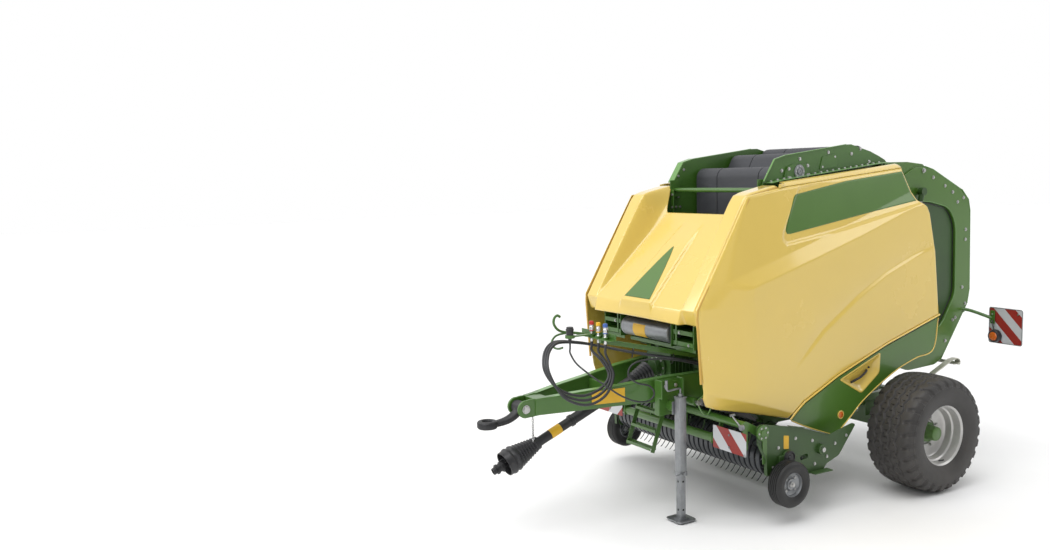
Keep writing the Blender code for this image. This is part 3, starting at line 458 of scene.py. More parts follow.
def hose_route(index):
    x, shift = HOSE_X[index], HOSE_SPACING * index
    route = [(x, HOLDER_Y, HOSE_TOP - GAP), (x, HOLDER_Y, HOSE_TOP - 0.04), (x, HOLDER_Y, HOSE_TOP - 0.08),
        (x * 0.5 + 0.17, -2.9, 1.36), (0.3 + shift, -2.9, 1.26), (0.32 + shift, -3.0, 1.17 - 0.8 * shift),
        (0.31 + shift, -3.18, 1.13 - shift), (0.27 + shift, -3.37, 1.2 - 0.8 * shift),
        (0.2 + shift, -3.46, 1.34), (0.1 + shift, -3.41, 1.46), (0.0 + shift, -3.29, 1.525),
        (-0.06 + shift, -3.15, 1.53), (-0.045 + shift, -2.95, 1.5), (0.02 + shift, -2.8, 1.465),
        (0.16 + shift, -2.62, 1.42), (0.37 + shift, -2.3, 1.355), (0.435 + shift, -2.08, 1.305),
        (0.44 + shift, -1.97, 1.28), (HOSE_END.x + shift, HOSE_END.y, HOSE_END.z)]
    return [Vector(route[0])] + smooth_path(route[1:], 0.02)


def cable_route():
    route = [(*PLUG, HOSE_TOP - GAP), (*PLUG, HOSE_TOP - 0.04), (*PLUG, HOSE_TOP - 0.08), (0.16, -3.13, 1.37),
        (0.3, -3.1, 1.3), (0.42, -3.03, 1.22), (0.48, -2.9, 1.12), (0.5, -2.76, 1.06), (0.5, -2.64, 1.05),
        (0.5, -2.58, 1.1), (0.49, -2.62, 1.17), (0.475, -2.74, 1.21), (0.465, -2.82, 1.28),
        (0.455, -2.77, 1.365), (0.465, -2.6, 1.39), (0.5, -2.35, 1.36), (0.545, -2.12, 1.3),
        (0.55, -1.99, 1.28), (0.55, HOSE_END.y, HOSE_END.z)]
    return [Vector(route[0])] + smooth_path(route[1:], 0.015)


def cord_piece(name, route, radius, node_name):
    work = bmesh.new()
    add_pipe(work, route, radius, 12)
    obj = piece(name, work, RUBBER, "chassis", replaces=[node_name])


def coupler(name, x, y, cap):
    """A plated hydraulic coupler standing in the holder, with its coloured cap."""
    work = bmesh.new()
    add_lathe(work, [(0, 0.0), (0, 0.0118), (0.012, 0.0135), (0.03, 0.0135), (0.034, 0.018), (0.06, 0.018),
        (0.064, 0.0145), (0.085, 0.0145), (0.089, 0.0195), (0.125, 0.0195), (0.13, 0.016), (0.145, 0.016),
        (0.146, 0.0)], (x, y, HOSE_TOP), 20, (0, 0, 1), closed=False)
    body = piece(name, work, CHROME, "chassis", smooth=30)
    work = bmesh.new()
    add_lathe(work, [(0, 0.0), (0, 0.02), (0.02, 0.021), (0.03, 0.018), (0.034, 0.0)], (x, y, HOSE_TOP + 0.142),
        18, (0, 0, 1), closed=False)
    add_rod(work, (x, y, HOSE_TOP + 0.088), (x, y, HOSE_TOP + 0.096), 0.0205, 18)
    piece(name + "_cap", work, cap, "chassis", smooth=30)
    return [body]


for index, cap in enumerate((RED_CAP, YELLOW_CAP, BLUE_CAP)):
    ends = coupler(f"coupler_{index + 1}", HOSE_X[index], HOLDER_Y, cap)
    cord_piece(f"hydraulic_hose_{index + 1}", hose_route(index), HOSE_RADIUS, f"hose_{index + 1}")

plug_work = bmesh.new()
add_lathe(plug_work, [(0, 0.0), (0, 0.009), (0.02, 0.013), (0.055, 0.017), (0.06, 0.027), (0.075, 0.03),
    (0.11, 0.031), (0.114, 0.034), (0.126, 0.034), (0.13, 0.029), (0.142, 0.028), (0.145, 0.0)],
    (*PLUG, HOSE_TOP), 24, (0, 0, 1), closed=False)
plug_piece = piece("plug_body", plug_work, PLASTIC, "chassis", smooth=30)
cord_piece("light_cable", cable_route(), CABLE_RADIUS, "electric_cable")


# ---- panels: hood, side doors, skirts ----
def polyline_at(points, fractions):
    """Points at fractions of a polyline's length, as an array."""
    points = np.array(points, float)
    steps = np.r_[0, np.cumsum(np.linalg.norm(np.diff(points, axis=0), axis=1))]
    where = np.asarray(fractions) * steps[-1]
    return np.stack([np.interp(where, steps, points[:, k]) for k in range(points.shape[1])], -1)


def coons(bottom, top, left, right, across, up):
    """A grid of (y, z) points inside four border polylines."""
    u, v = np.linspace(0, 1, across + 1), np.linspace(0, 1, up + 1)
    low, high = polyline_at(bottom, u), polyline_at(top, u)
    first, last = polyline_at(left, v), polyline_at(right, v)
    u, v = u[None, :, None], v[:, None, None]
    corners = (low[0] * (1 - u) * (1 - v) + low[-1] * u * (1 - v) + high[0] * (1 - u) * v + high[-1] * u * v)
    return low[None] * (1 - v) + high[None] * v + first[:, None] * (1 - u) + last[:, None] * u - corners


def distance_to_path(y, z, path, closed=False):
    """The distance of each (y, z) point from a polyline."""
    points = np.array(path + path[:1] if closed else path, float)
    best = np.full(y.shape, 1e9)
    for (ay, az), (by, bz) in zip(points, points[1:]):
        dy, dz = by - ay, bz - az
        t = np.clip(((y - ay) * dy + (z - az) * dz) / (dy * dy + dz * dz), 0, 1)
        best = np.minimum(best, np.hypot(y - ay - t * dy, z - az - t * dz))
    return best


def inside(y, z, outline):
    """True for each (y, z) point inside a closed outline."""
    found = np.zeros(y.shape, bool)
    for (ay, az), (by, bz) in zip(outline, outline[1:] + outline[:1]):
        crosses = (az > z) != (bz > z)
        with np.errstate(divide="ignore", invalid="ignore"):
            found ^= crosses & (y < (by - ay) * (z - az) / (bz - az) + ay)
    return found


def smooth(low, high, value):
    t = np.clip((value - low) / (high - low), 0, 1)
    return t * t * (3 - 2 * t)


def soft_min(a, b, k):
    h = np.clip(0.5 + 0.5 * (b - a) / k, 0, 1)
    return b * (1 - h) + a * h - k * h * (1 - h)


DOOR_BOTTOM = [(-2.162, 0.958), (-1.8, 0.885), (-1.4, 0.785), (-1.348, 0.832), (-1.231, 0.917), (-0.809, 1.102),
    (-0.169, 1.319), (0.575, 1.522)]
DOOR_TOP = [(-1.825, 2.725), (-1.42, 2.79), (0.085, 2.93)]
DOOR_FRONT = [(-2.162, 0.958), (-2.245, 0.99), (-2.292, 1.06), (-2.345, 1.42), (-2.382, 1.74), (-2.38, 1.812),
    (-1.835, 2.71), (-1.825, 2.725)]
DOOR_REAR = [(0.575, 1.522), (0.497, 2.135), (0.4, 2.5), (0.36, 2.565), (0.245, 2.63), (0.095, 2.9),
    (0.085, 2.93)]
MAIN_CREASE = [(-2.387, 1.802), (-1.859, 1.96), (-1.125, 2.167), (-0.515, 2.347), (0.3, 2.61)]
BEVEL_EDGE = [(-1.601, 2.76), (-1.724, 2.408), (-1.86, 2.05), (-1.846, 1.9), (-1.791, 1.555), (-1.72, 0.9)]
RECESS = [(-1.235, 2.78), (-1.44, 2.4), (-1.445, 2.345), (-1.4, 2.305), (-0.704, 2.405), (0.3, 2.6),
    (0.2, 2.76), (0.06, 2.99)]
SWOOSH = [(-1.42, 1.1), (-1.322, 1.241), (-0.998, 1.516), (-0.568, 1.782), (-0.184, 1.974), (0.218, 2.117),
    (0.5, 2.19)]
LOW_BEVEL = [(-2.33, 1.135), (-2.272, 1.113), (-1.803, 0.987), (-1.363, 0.839), (-1.2, 0.78)]
SIDE_X = 0.898


def door_x(y, z):
    """How far out the side panel stands at each (y, z)."""
    crease = np.interp(y, *np.array(MAIN_CREASE).T)
    edge_z, edge_y = np.array(BEVEL_EDGE[::-1]).T[::-1]
    edge = np.interp(z, edge_z, edge_y)
    front_z, front_y = np.array(DOOR_FRONT[:7]).T[::-1]
    front = np.interp(z, front_z, front_y)
    x = np.full(y.shape, SIDE_X)
    above = z - crease
    lean = 0.36 * np.clip(above, 0, 0.13) + 0.075 * np.maximum(above - 0.13, 0) + 0.012 * np.maximum(-above, 0)
    x = x - lean
    recess = smooth(-0.016, 0.016, np.where(inside(y, z, RECESS), 1, -1) * distance_to_path(y, z, RECESS, True))
    x = x - 0.013 * recess * smooth(-1.6, -1.4, y)
    strength = smooth(-1.42, -1.0, y) * smooth(0.55, 0.05, y)
    swoosh_z = np.interp(y, *np.array(SWOOSH).T)
    past = (z - swoosh_z) * 0.72
    dip = np.exp(-np.maximum(past, 0) / 0.075) * smooth(-0.012, 0.012, past)
    x = x - 0.017 * dip * strength
    share = np.clip((edge - y) / np.maximum(edge - front, 0.05), 0, 1.05)
    bevel = SIDE_X - 0.092 * share**1.12
    x = np.where(share > 0, soft_min(x, bevel, 0.012), x)
    low = np.interp(y, *np.array(LOW_BEVEL).T) - z
    x = x - 0.32 * np.maximum(low, 0) * smooth(-0.005, 0.02, low)
    return x


DOOR_OUTLINE = DOOR_BOTTOM[:-1] + DOOR_REAR[:-1] + DOOR_TOP[::-1][:-1] + DOOR_FRONT[::-1][:-1]


def grid_mesh(points, flip=False):
    """A mesh from an array of points in rows and columns."""
    rows, columns = points.shape[:2]
    index = np.arange(rows * columns).reshape(rows, columns)
    quads = np.stack([index[:-1, :-1], index[:-1, 1:], index[1:, 1:], index[1:, :-1]], -1).reshape(-1, 4)
    if flip:
        quads = quads[:, ::-1]
    mesh = bpy.data.meshes.new("grid")
    mesh.from_pydata(points.reshape(-1, 3).tolist(), [], quads.tolist())
    return mesh


def shell_piece(name, points, material, body, thickness, replaces=(), flip=False):
    """A sheet from a grid of points, thickened inwards."""
    obj = dressed(name, grid_mesh(points, flip), material, body, smooth=60, replaces=replaces)
    solid = obj.modifiers.new("wall", "SOLIDIFY")
    solid.thickness = thickness
    solid.offset = -1
    return obj


def on_door(yz, lift, side):
    """Points on the face of a side door, lifted off it by lift."""
    y, z = yz[..., 0], yz[..., 1]
    x = door_x(y, z) + lift
    return np.stack([x * side, y, z], -1)


BAND = dict(bottom=[(-1.355, 2.389), (-0.705, 2.486), (0.222, 2.624)], top=[(-1.285, 2.722), (-0.649, 2.826),
    (0.075, 2.897)], left=[(-1.355, 2.389), (-1.392, 2.392), (-1.405, 2.412), (-1.4, 2.44), (-1.305, 2.7),
    (-1.285, 2.722)], right=[(0.222, 2.624), (0.075, 2.897)])

for side in (1, -1):
    body = "side_door_" + side_name(side)
    grid = coons(DOOR_BOTTOM, DOOR_TOP, DOOR_FRONT, DOOR_REAR, 210, 140)
    points = on_door(grid, 0.0, side)
    rim = distance_to_path(grid[..., 0], grid[..., 1], DOOR_OUTLINE, True)
    points[..., 0] -= side * 0.012 * np.clip(1 - rim / 0.016, 0, 1) ** 2
    shell_piece("side_panel_" + side_name(side), points, CREAM, body, 0.006,
        replaces=["side_door_" + side_name(side)], flip=side < 0)
    band = coons(BAND["bottom"], BAND["top"], BAND["left"], BAND["right"], 90, 24)
    shell_piece("side_band_" + side_name(side), on_door(band, 0.0022, side), GREEN_BAND_AND_LIT, body, 0.002,
        flip=side < 0)
    # the top face of the door, from its upper edge inwards
    u = np.linspace(0.19, 1, 60)
    edge = polyline_at(DOOR_TOP, u)
    outer = door_x(edge[:, 0], edge[:, 1]) - 0.012
    across = np.linspace(0, 1, 9)
    inner = np.where(edge[:, 0] < -1.4, 0.806, 0.728)
    x = outer[None, :] + (inner - outer)[None, :] * across[:, None]
    z = edge[None, :, 1] + 0.035 * np.sin(across[:, None] * math.pi / 2)
    y = np.broadcast_to(edge[None, :, 0], x.shape)
    top = np.stack([x * side, y, z], -1)
    shell_piece("door_top_" + side_name(side), top, CREAM, body, 0.006, flip=side > 0)
    # cream bead along the lower edge of the cream panel
    work = bmesh.new()
    bead = DOOR_BOTTOM[2:]
    path = [Vector(((SIDE_X - 0.012) * side, y, z - 0.001)) for y, z in polyline_at(bead,
        np.linspace(0, 1, 60))]
    add_pipe(work, path, 0.0085, 8)
    piece("door_bead_" + side_name(side), work, CREAM_EDGE, body)
    # painted shade: a dark yellow strip along the groove at the front edge
    work = bmesh.new()
    front = polyline_at([(-2.335, 1.2), (-2.372, 1.74), (-2.366, 1.812), (-1.812, 2.7)], np.linspace(0, 1, 50))
    path = [Vector((0.8 * side, y + 0.004, z)) for y, z in front]
    add_pipe(work, path, 0.011, 8)
    piece("door_groove_shade_" + side_name(side), work, PAINTED_SHADE_YELLOW, body)

SKIRT = [(-1.38, 0.77), (-1.2, 0.69), (-0.905, 0.58), (-0.84, 0.572), (-0.775, 0.6), (-0.62, 0.715),
    (-0.487, 0.818), (-0.24, 0.955), (0.005, 1.063), (0.25, 1.135), (0.5, 1.192), (0.565, 1.49),
    (-0.169, 1.292), (-0.809, 1.075), (-1.225, 0.892), (-1.335, 0.812)]
POCKET = [(-0.792, 1.056), (-0.251, 1.248), (-0.263, 1.057), (-0.505, 0.895)]


def scaled_outline(outline, inset):
    """The outline moved inwards by inset on every side."""
    count = len(outline)
    area = sum(outline[i][0] * outline[(i + 1) % count][1] - outline[(i + 1) % count][0] * outline[i][1]
               for i in range(count))
    turn = 1 if area > 0 else -1
    made = []
    for i in range(count):
        a, b, c = (Vector(outline[(i + k) % count]) for k in (-1, 0, 1))
        n1 = Vector((-(b - a).y, (b - a).x)).normalized() * turn
        n2 = Vector((-(c - b).y, (c - b).x)).normalized() * turn
        mid = (n1 + n2).normalized()
        made.append(tuple(b + mid * inset / max(mid.dot(n1), 0.3)))
    return made


for side in (1, -1):
    hole = rounded(scaled_outline(POCKET, 0.004), 0.03)
    work = bmesh.new()
    add_plate(work, SKIRT, 0.872 * side, 0.012, [hole])
    piece("skirt_panel_" + side_name(side), work, GREEN_BAND_AND_LIT, "chassis", bevel=0.003,
        replaces=["lower_skirt_" + side_name(side)])
    work = bmesh.new()
    low = smooth_path([(0.8785 * side, y, z) for y, z in SKIRT[:12]], 0.02)
    add_pipe(work, low, 0.0055, 8)
    piece("skirt_edge_" + side_name(side), work, CREAM_EDGE, "chassis")
    # latch pocket: a cream dish with a raised frame
    work = bmesh.new()
    rims = [(rounded(scaled_outline(POCKET, inset), 0.03 + inset * 0.3, 5), x) for inset,
        x in ((0.0, 0.868), (0.0, 0.882), (0.008, 0.884), (0.016, 0.88), (0.03, 0.864), (0.05, 0.846),
        (0.066, 0.842))]
    loops = [[work.verts.new((x * side, y, z)) for y, z in loop] for loop, x in rims]
    back = [[work.verts.new((x * side, y, z)) for y, z in loop] for loop, x in ((rounded(scaled_outline(POCKET,
        0.004), 0.03, 5), 0.862), (rounded(scaled_outline(POCKET, 0.05), 0.045, 5), 0.838))]
    loft(work, back[::-1] + loops)
    piece("latch_pocket_" + side_name(side), work, CREAM, "chassis", smooth=40)
    work = bmesh.new()
    grip = smooth_path([(0.85 * side, -0.605, 1.005), (0.868 * side, -0.595, 1.018), (0.87 * side, -0.5, 1.045),
        (0.866 * side, -0.425, 1.085), (0.85 * side, -0.405, 1.092)], 0.012)
    add_pipe(work, grip, 0.013, 10, flat=0.8)
    add_x_rod(work, 0.842 * side, 0.853 * side, -0.37, 1.115, 0.009, 12)
    piece("latch_handle_" + side_name(side), work, PLASTIC, "chassis")
    work = bmesh.new()
    add_lathe(work, [(0.878, 0.0), (0.88, 0.038), (0.886, 0.038), (0.8885, 0.034), (0.8865, 0.03)],
        (0, -0.772, 0.736), 32, (side, 0, 0), closed=False)
    piece("reflector_ring_" + side_name(side), work, CREAM_EDGE, "chassis")
    work = bmesh.new()
    add_lathe(work, [(0.88, 0.0), (0.88, 0.029), (0.886, 0.029), (0.889, 0.024), (0.89, 0.0)],
        (0, -0.772, 0.736), 32, (side, 0, 0), closed=False)
    piece("reflector_" + side_name(side), work, ORANGE, "chassis")


# ---- hood ----
def hood_shape(s, t):
    """s is x in metres; t runs from -0.1 at the lip's bottom through 0 at the crease to 1 at the rear."""
    ax = np.abs(s)
    slope = np.clip(t / 0.76, 0, 1)
    back = np.clip((t - 0.76) / 0.24, 0, 1)
    ridge_y = -2.378 + 0.558 * slope + 0.335 * back
    ridge_z = 1.8 + 0.94 * slope + 0.068 * back
    corner = np.exp(-((t - 0.76) / 0.035) ** 2)
    ridge_z = ridge_z - 0.01 * corner
    ridge_y = ridge_y + 0.004 * corner
    floor_y = -2.378 + 0.738 * t
    floor_z = 1.8 + 0.757 * t
    wall_in = 0.6 - 0.135 * np.clip(t, 0, 1)
    rise = smooth(0, 1, (ax - wall_in) / np.maximum(0.625 - wall_in, 0.02))
    y = floor_y + (ridge_y - floor_y) * rise
    z = floor_z + (ridge_z - floor_z) * rise
    spine = smooth(0.235 - 0.1 * t, 0.205 - 0.1 * t, ax) * smooth(0.95, 0.55, t)
    y = y - 0.02 * spine * smooth(-0.06, 0.03, t)
    z = z + 0.02 * spine
    lip = np.clip(-t / 0.1, 0, 1)
    curve = lip**1.2
    y = y + 0.04 * curve
    z = np.where(t < 0, 1.8 - 0.128 * lip + 0.02 * spine * (1 - lip) + 0.012 * (1 - (ax / 0.785) ** 2) * lip, z)
    edge = np.clip((ax - 0.755) / 0.03, 0, 1) ** 2
    z = z - 0.012 * edge * (t > -0.02)
    y = y + 0.014 * edge
    return np.stack([s, y, z], -1)


s = np.concatenate([np.linspace(-0.785, -0.45, 60), np.linspace(-0.446, 0.446, 90),
    np.linspace(0.45, 0.785, 60)])
t = np.concatenate([np.linspace(-0.1, -0.012, 10), np.linspace(-0.008, 0.03, 8), np.linspace(0.04, 1.0, 90)])
ss, tt = np.meshgrid(s, t)
shell_piece("hood_panel", hood_shape(ss, tt), CREAM, "front_hood", 0.006,
    replaces=["front_hood"])
us, vs = np.meshgrid(np.linspace(0, 1, 30), np.linspace(0, 1, 40))
width = 0.178 * (1 - vs) ** 0.82 + 0.0015
tri = hood_shape((us * 2 - 1) * width, 0.035 + vs * 0.565)
tri[..., 1] -= 0.0022
tri[..., 2] += 0.0022
shell_piece("hood_mark", tri, GREEN_BAND_AND_LIT, "front_hood", 0.0015)
for side in (1, -1):
    # side flange of the hood behind its ridge, in the dark yellow of painted shade
    tt1 = np.linspace(0.0, 1.0, 60)
    outer = hood_shape(np.full_like(tt1, 0.785 * side), tt1)
    rows = np.stack([outer, outer + np.array([0.0, 0.045, -0.03])])
    shell_piece("hood_flange_" + side_name(side), rows, PAINTED_SHADE_YELLOW, "front_hood", 0.004, flip=side > 0)


# ---- road wheels ----
TYRE_STEPS = 448
LUGS = 28
TYRE_WIDTH, TYRE_RADIUS, BEAD_RADIUS = 0.5, 0.53, 0.262


def wheel_profile(width, radius, rim_radius):
    """(x, radius) points across the outside of a tyre, bead to bead."""
    half = width / 2
    rise = radius - rim_radius
    right = [(half * 0.78, rim_radius), (half * 0.86, rim_radius + 0.06 * rise), (half * 0.945,
        rim_radius + 0.2 * rise), (half * 0.99, rim_radius + 0.38 * rise), (half * 1.0,
        rim_radius + 0.54 * rise), (half * 0.975, rim_radius + 0.72 * rise), (half * 0.915,
        rim_radius + 0.86 * rise), (half * 0.8, rim_radius + 0.935 * rise), (half * 0.6,
        rim_radius + 0.972 * rise), (half * 0.3, rim_radius + 0.993 * rise), (0, radius)]
    outline = right + [(-x, r) for x, r in reversed(right[:-1])]
    path = np.array([tuple(p)[:2] for p in smooth_path([(*p, 0) for p in outline], 0.001)])
    weight = np.where(path[1:, 1] > radius - 0.13, 3.4, 1.0)
    spread = np.r_[0, np.cumsum(weight)]
    where = np.linspace(0, spread[-1], 150)
    return np.stack([np.interp(where, spread, path[:, k]) for k in (0, 1)], -1)


def tread_depth(x, turn, width):
    """How deep the tread is cut at each point across (x) and round (turn, in turns) the tyre."""
    across = x / (width / 2)
    wave = np.abs(np.mod(turn * LUGS, 1.0) - 0.5) * 4 - 1
    cut = np.zeros(x.shape)
    for centre, sign in ((-0.44, 1), (-0.14, -1), (0.16, 1), (0.46, -1)):
        offset = np.abs(across - centre - 0.05 * sign * wave)
        cut = np.maximum(cut, smooth(0.048, 0.022, offset))
    # short sipes from the grooves into the ribs
    local = np.mod(turn * LUGS * 2, 1.0)
    for low, high in ((-0.38, -0.28), (-0.06, 0.06), (0.3, 0.38)):
        sipe = smooth(0.12, 0.06, np.abs(local - 0.5))
        cut = np.maximum(cut, 0.55 * sipe * smooth(low - 0.03, low, across) * smooth(high + 0.03, high, across))
    # curved shoulder lugs
    for side in (1, -1):
        out = across * side
        lean = 0.3 * np.clip((out - 0.5) / 0.5, 0, 1.2) ** 2
        place = np.abs(np.mod(turn * LUGS + lean * side + 0.1, 1.0) - 0.5)
        wide = 0.09 + 0.13 * np.clip((out - 0.66) / 0.34, 0, 1)
        lug = smooth(wide + 0.05, wide - 0.01, place) * smooth(0.6, 0.68, out)
        cut = np.maximum(cut, lug)
    return cut


def tyre_piece(name, centre, node_name, body):
    profile = wheel_profile(TYRE_WIDTH, TYRE_RADIUS, BEAD_RADIUS)
    turns = np.arange(TYRE_STEPS) / TYRE_STEPS
    x, radius = profile[:, 0], profile[:, 1]
    xx, tt = np.meshgrid(x, turns)
    rr = np.broadcast_to(radius, xx.shape)
    reach = smooth(0.425, 0.475, rr)
    depth = 0.016 * tread_depth(xx, tt, TYRE_WIDTH) * reach
    ring = 0.004 * smooth(0.0045, 0.001, np.abs(rr - 0.452)) - 0.004 * smooth(0.005, 0.001, np.abs(rr - 0.3))
    bulge = np.sign(xx) * ring
    angle = tt * 2 * math.pi
    r = rr - depth
    points = np.stack([centre[0] + xx + bulge - np.sign(xx) * depth * 0.35 * smooth(0.2, 0.24, np.abs(xx)),
        centre[1] + r * np.cos(angle), centre[2] + r * np.sin(angle)], -1)
    rows, columns = points.shape[:2]
    index = np.arange(rows * columns).reshape(rows, columns)
    nxt = np.roll(index, -1, axis=0)
    quads = np.stack([index[:, :-1], index[:, 1:], nxt[:, 1:], nxt[:, :-1]], -1).reshape(-1, 4)
    inner = np.stack([index[:, -1], index[:, 0], nxt[:, 0], nxt[:, -1]], -1).reshape(-1, 4)
    mesh = bpy.data.meshes.new(name)
    mesh.from_pydata(points.reshape(-1, 3).tolist(), [], np.concatenate([quads, inner])[:, ::-1].tolist())
    return dressed(name, mesh, TYRE, body, smooth=50, replaces=[node_name])


for side in (1, -1):
    centre = Vector((WHEEL_X * side, 0, WHEEL_Z))
    name = side_name(side)
    body = "wheel_" + name
    tyre_piece("tyre_tread_" + name, centre, "tyre_" + name, body)
    work = bmesh.new()
    rim = [(0.205, 0.29), (0.212, 0.286), (0.21, 0.272), (0.196, 0.258), (0.16, 0.252), (0.128, 0.25),
        (0.118, 0.236), (0.085, 0.228), (0.06, 0.228), (0.05, 0.215), (0.045, 0.19), (0.036, 0.15),
        (0.03, 0.118), (0.012, 0.112), (0.008, 0.1), (0.0, 0.1), (0.0, 0.112), (0.014, 0.124), (0.022, 0.16),
        (0.03, 0.205), (0.0, 0.222), (-0.08, 0.224), (-0.115, 0.236), (-0.13, 0.25), (-0.196, 0.256),
        (-0.21, 0.272), (-0.212, 0.286), (-0.205, 0.29), (-0.195, 0.28), (-0.192, 0.2615), (-0.12, 0.2605),
        (0.12, 0.2605), (0.192, 0.2615), (0.195, 0.28)]
    add_lathe(work, [(x * side, r) for x, r in rim], centre, 96)
    piece("rim_dish_" + name, work, SILVER, body, smooth=28, replaces=["rim_" + name])
    work = bmesh.new()
    hub = [(-0.1, 0.0), (-0.1, 0.105), (-0.02, 0.108), (0.0, 0.098), (0.03, 0.094), (0.05, 0.09), (0.055, 0.07),
        (0.125, 0.066), (0.14, 0.062), (0.146, 0.05), (0.146, 0.0)]
    add_lathe(work, [(x * side, r) for x, r in hub], centre, 40, closed=False)
    piece("hub_" + name, work, GREEN, body, smooth=28)
    work = bmesh.new()
    add_bolt_circle(work, centre + X_AXIS * 0.029 * side, 0.137, 8, side, 0.013, 0.018, start=0.5)
    piece("wheel_nuts_" + name, work, BOLT, body, smooth=30)
    work = bmesh.new()
    add_pipe(work, [centre + Vector((0.165 * side, 0, -0.24)), centre + Vector((0.2 * side, 0, -0.228)),
        centre + Vector((0.215 * side, 0, -0.222))], 0.006, 8)
    piece("valve_" + name, work, RUBBER, body)


# ---- pickup gauge wheels ----
for side in (1, -1):
    centre = Vector((GAUGE_X * side, GAUGE_Y, GAUGE_Z))
    name = side_name(side)
    body = "gauge_wheel_" + name
    ribs = [(0.043, 0.098), (0.054, 0.104), (0.064, 0.122), (0.0695, 0.15), (0.0665, 0.172), (0.058, 0.184),
        (0.05, 0.189)]
    for groove in (0.04, 0.02, 0.0, -0.02, -0.04):
        ribs += [(groove + 0.0045, 0.1945), (groove + 0.0028, 0.189), (groove - 0.0028, 0.189),
            (groove - 0.0045, 0.1945)]
    ribs += [(-x, r) for x, r in reversed(ribs[:7])]
    work = bmesh.new()
    add_lathe(work, ribs, centre, 72)
    piece("gauge_tyre_" + name, work, GAUGE_TYRE, body, smooth=32,
        replaces=["gauge_wheel_" + name])
    work = bmesh.new()
    dish = [(0.05, 0.104), (0.052, 0.098), (0.04, 0.093), (0.026, 0.09), (0.02, 0.078), (0.012, 0.06),
        (0.02, 0.05), (0.03, 0.046), (0.03, 0.02), (-0.03, 0.02), (-0.03, 0.046), (0.004, 0.06), (0.006, 0.085),
        (-0.04, 0.092), (-0.052, 0.098), (-0.05, 0.104), (-0.042, 0.0975), (0.042, 0.0975)]
    add_lathe(work, [(x * side, r) for x, r in dish], centre, 56)
    piece("gauge_rim_" + name, work, ZINC, body, smooth=28)
    work = bmesh.new()
    add_lathe(work, [(-0.03 * side, 0.0), (-0.03 * side, 0.026), (0.04 * side, 0.024), (0.046 * side, 0.018),
        (0.046 * side, 0.0)], centre, 24, closed=False)
    add_bolt(work, centre + Vector((0.046 * side, 0, 0)), (side, 0, 0), 0.013, 0.012)
    add_bolt_circle(work, centre + X_AXIS * 0.018 * side, 0.07, 4, side, 0.007, 0.007, start=0.5)
    piece("gauge_hub_" + name, work, BOLT, body, smooth=30)


# ---- belts and rollers ----
def arc(centre, radius, start, end, steps):
    angles = [math.radians(start + (end - start) * i / steps) for i in range(steps + 1)]
    return [(centre[0] + radius * math.cos(a), centre[1] + radius * math.sin(a)) for a in angles]


def ribbon(path, thickness):
    left, right = [], []
    for i, (y, z) in enumerate(path):
        along = Vector(path[min(i + 1, len(path) - 1)]) - Vector(path[max(i - 1, 0)])
        along.normalize()
        normal = Vector((-along.y, along.x)) * thickness / 2
        left.append((y + normal.x, z + normal.y))
        right.append((y - normal.x, z - normal.y))
    return left + right[::-1]


def strip(work, path, x, width, thickness, crown=0.0):
    """A belt or band along (y, z) points, with its edges slightly lower than its middle."""
    cross = [(-0.5, 1.0), (-0.42, 0.0), (0.0, 0.0), (0.42, 0.0), (0.5, 1.0)]
    rings = []
    for i, (y, z) in enumerate(path):
        along = Vector(path[min(i + 1, len(path) - 1)]) - Vector(path[max(i - 1, 0)])
        along.normalize()
        normal = Vector((-along.y, along.x))
        top, low = [], []
        for u, drop in cross:
            out = normal * (thickness / 2 - crown * drop)
            top.append(work.verts.new((x + u * width, y + out.x, z + out.y)))
            back = normal * (-thickness / 2 - crown * drop)
            low.append(work.verts.new((x + u * width, y + back.x, z + back.y)))
        rings.append(top + low[::-1])
    loft(work, rings)


TOP_ROLLERS = ((-1.1, 2.87), (-0.66, 2.995), (-0.24, 3.05))
TAIL_ROLLERS = ((1.06, 2.46), (0.86, 1.27))
BELT_WRAP = 0.0915
BELT_PATH = [(-1.19, 2.1)] + arc(TOP_ROLLERS[0], BELT_WRAP, 180, 40, 18)
BELT_PATH += [(-0.88, 2.78)] + arc(TOP_ROLLERS[1], BELT_WRAP, 157, 28, 16)
BELT_PATH += [(-0.45, 2.86)] + arc(TOP_ROLLERS[2], BELT_WRAP, 157, 13, 16) + [(-0.02, 2.7)]
TAIL_PATH = [(0.36, 2.72)] + arc(TAIL_ROLLERS[0], BELT_WRAP, 80, -8, 14)
TAIL_PATH += arc(TAIL_ROLLERS[1], BELT_WRAP, -11, -98, 14) + [(0.34, 1.1)]
BELT_EDGES = (-0.575, -0.275, 0.275, 0.575)
for name, path, body, node_name in (("top_belts", BELT_PATH, "chassis", "upper_belts"),
        ("rear_belts", TAIL_PATH, "tailgate", "tailgate_belts")):
    work = bmesh.new()
    for low, high in zip(BELT_EDGES, BELT_EDGES[1:]):
        strip(work, path, (low + high) / 2, high - low - 0.009, 0.01, 0.0015)
    piece(name, work, BELT, body, smooth=40, replaces=[node_name])


# ---- pickup ----
BANDS = 31
BAND_PITCH = 2.0 / BANDS
REEL = Vector((0, -1.7, 0.535))
work = bmesh.new()
band_path = [(-1.36, 0.5), (-1.44, 0.385), (-1.53, 0.35)] + arc((REEL.y, REEL.z), 0.168, -70, -262,
    22) + [(-1.6, 0.707), (-1.49, 0.715)]
for k in range(BANDS):
    strip(work, band_path, -1.0 + (k + 0.5) * BAND_PITCH, BAND_PITCH - 0.016, 0.007, 0.007)
add_box(work, (0, -1.405, 0.45), (2.05, 0.03, 0.05))
piece("stripper_bands", work, BAND_STEEL, "pickup", smooth=50, replaces=["pickup_bands"])

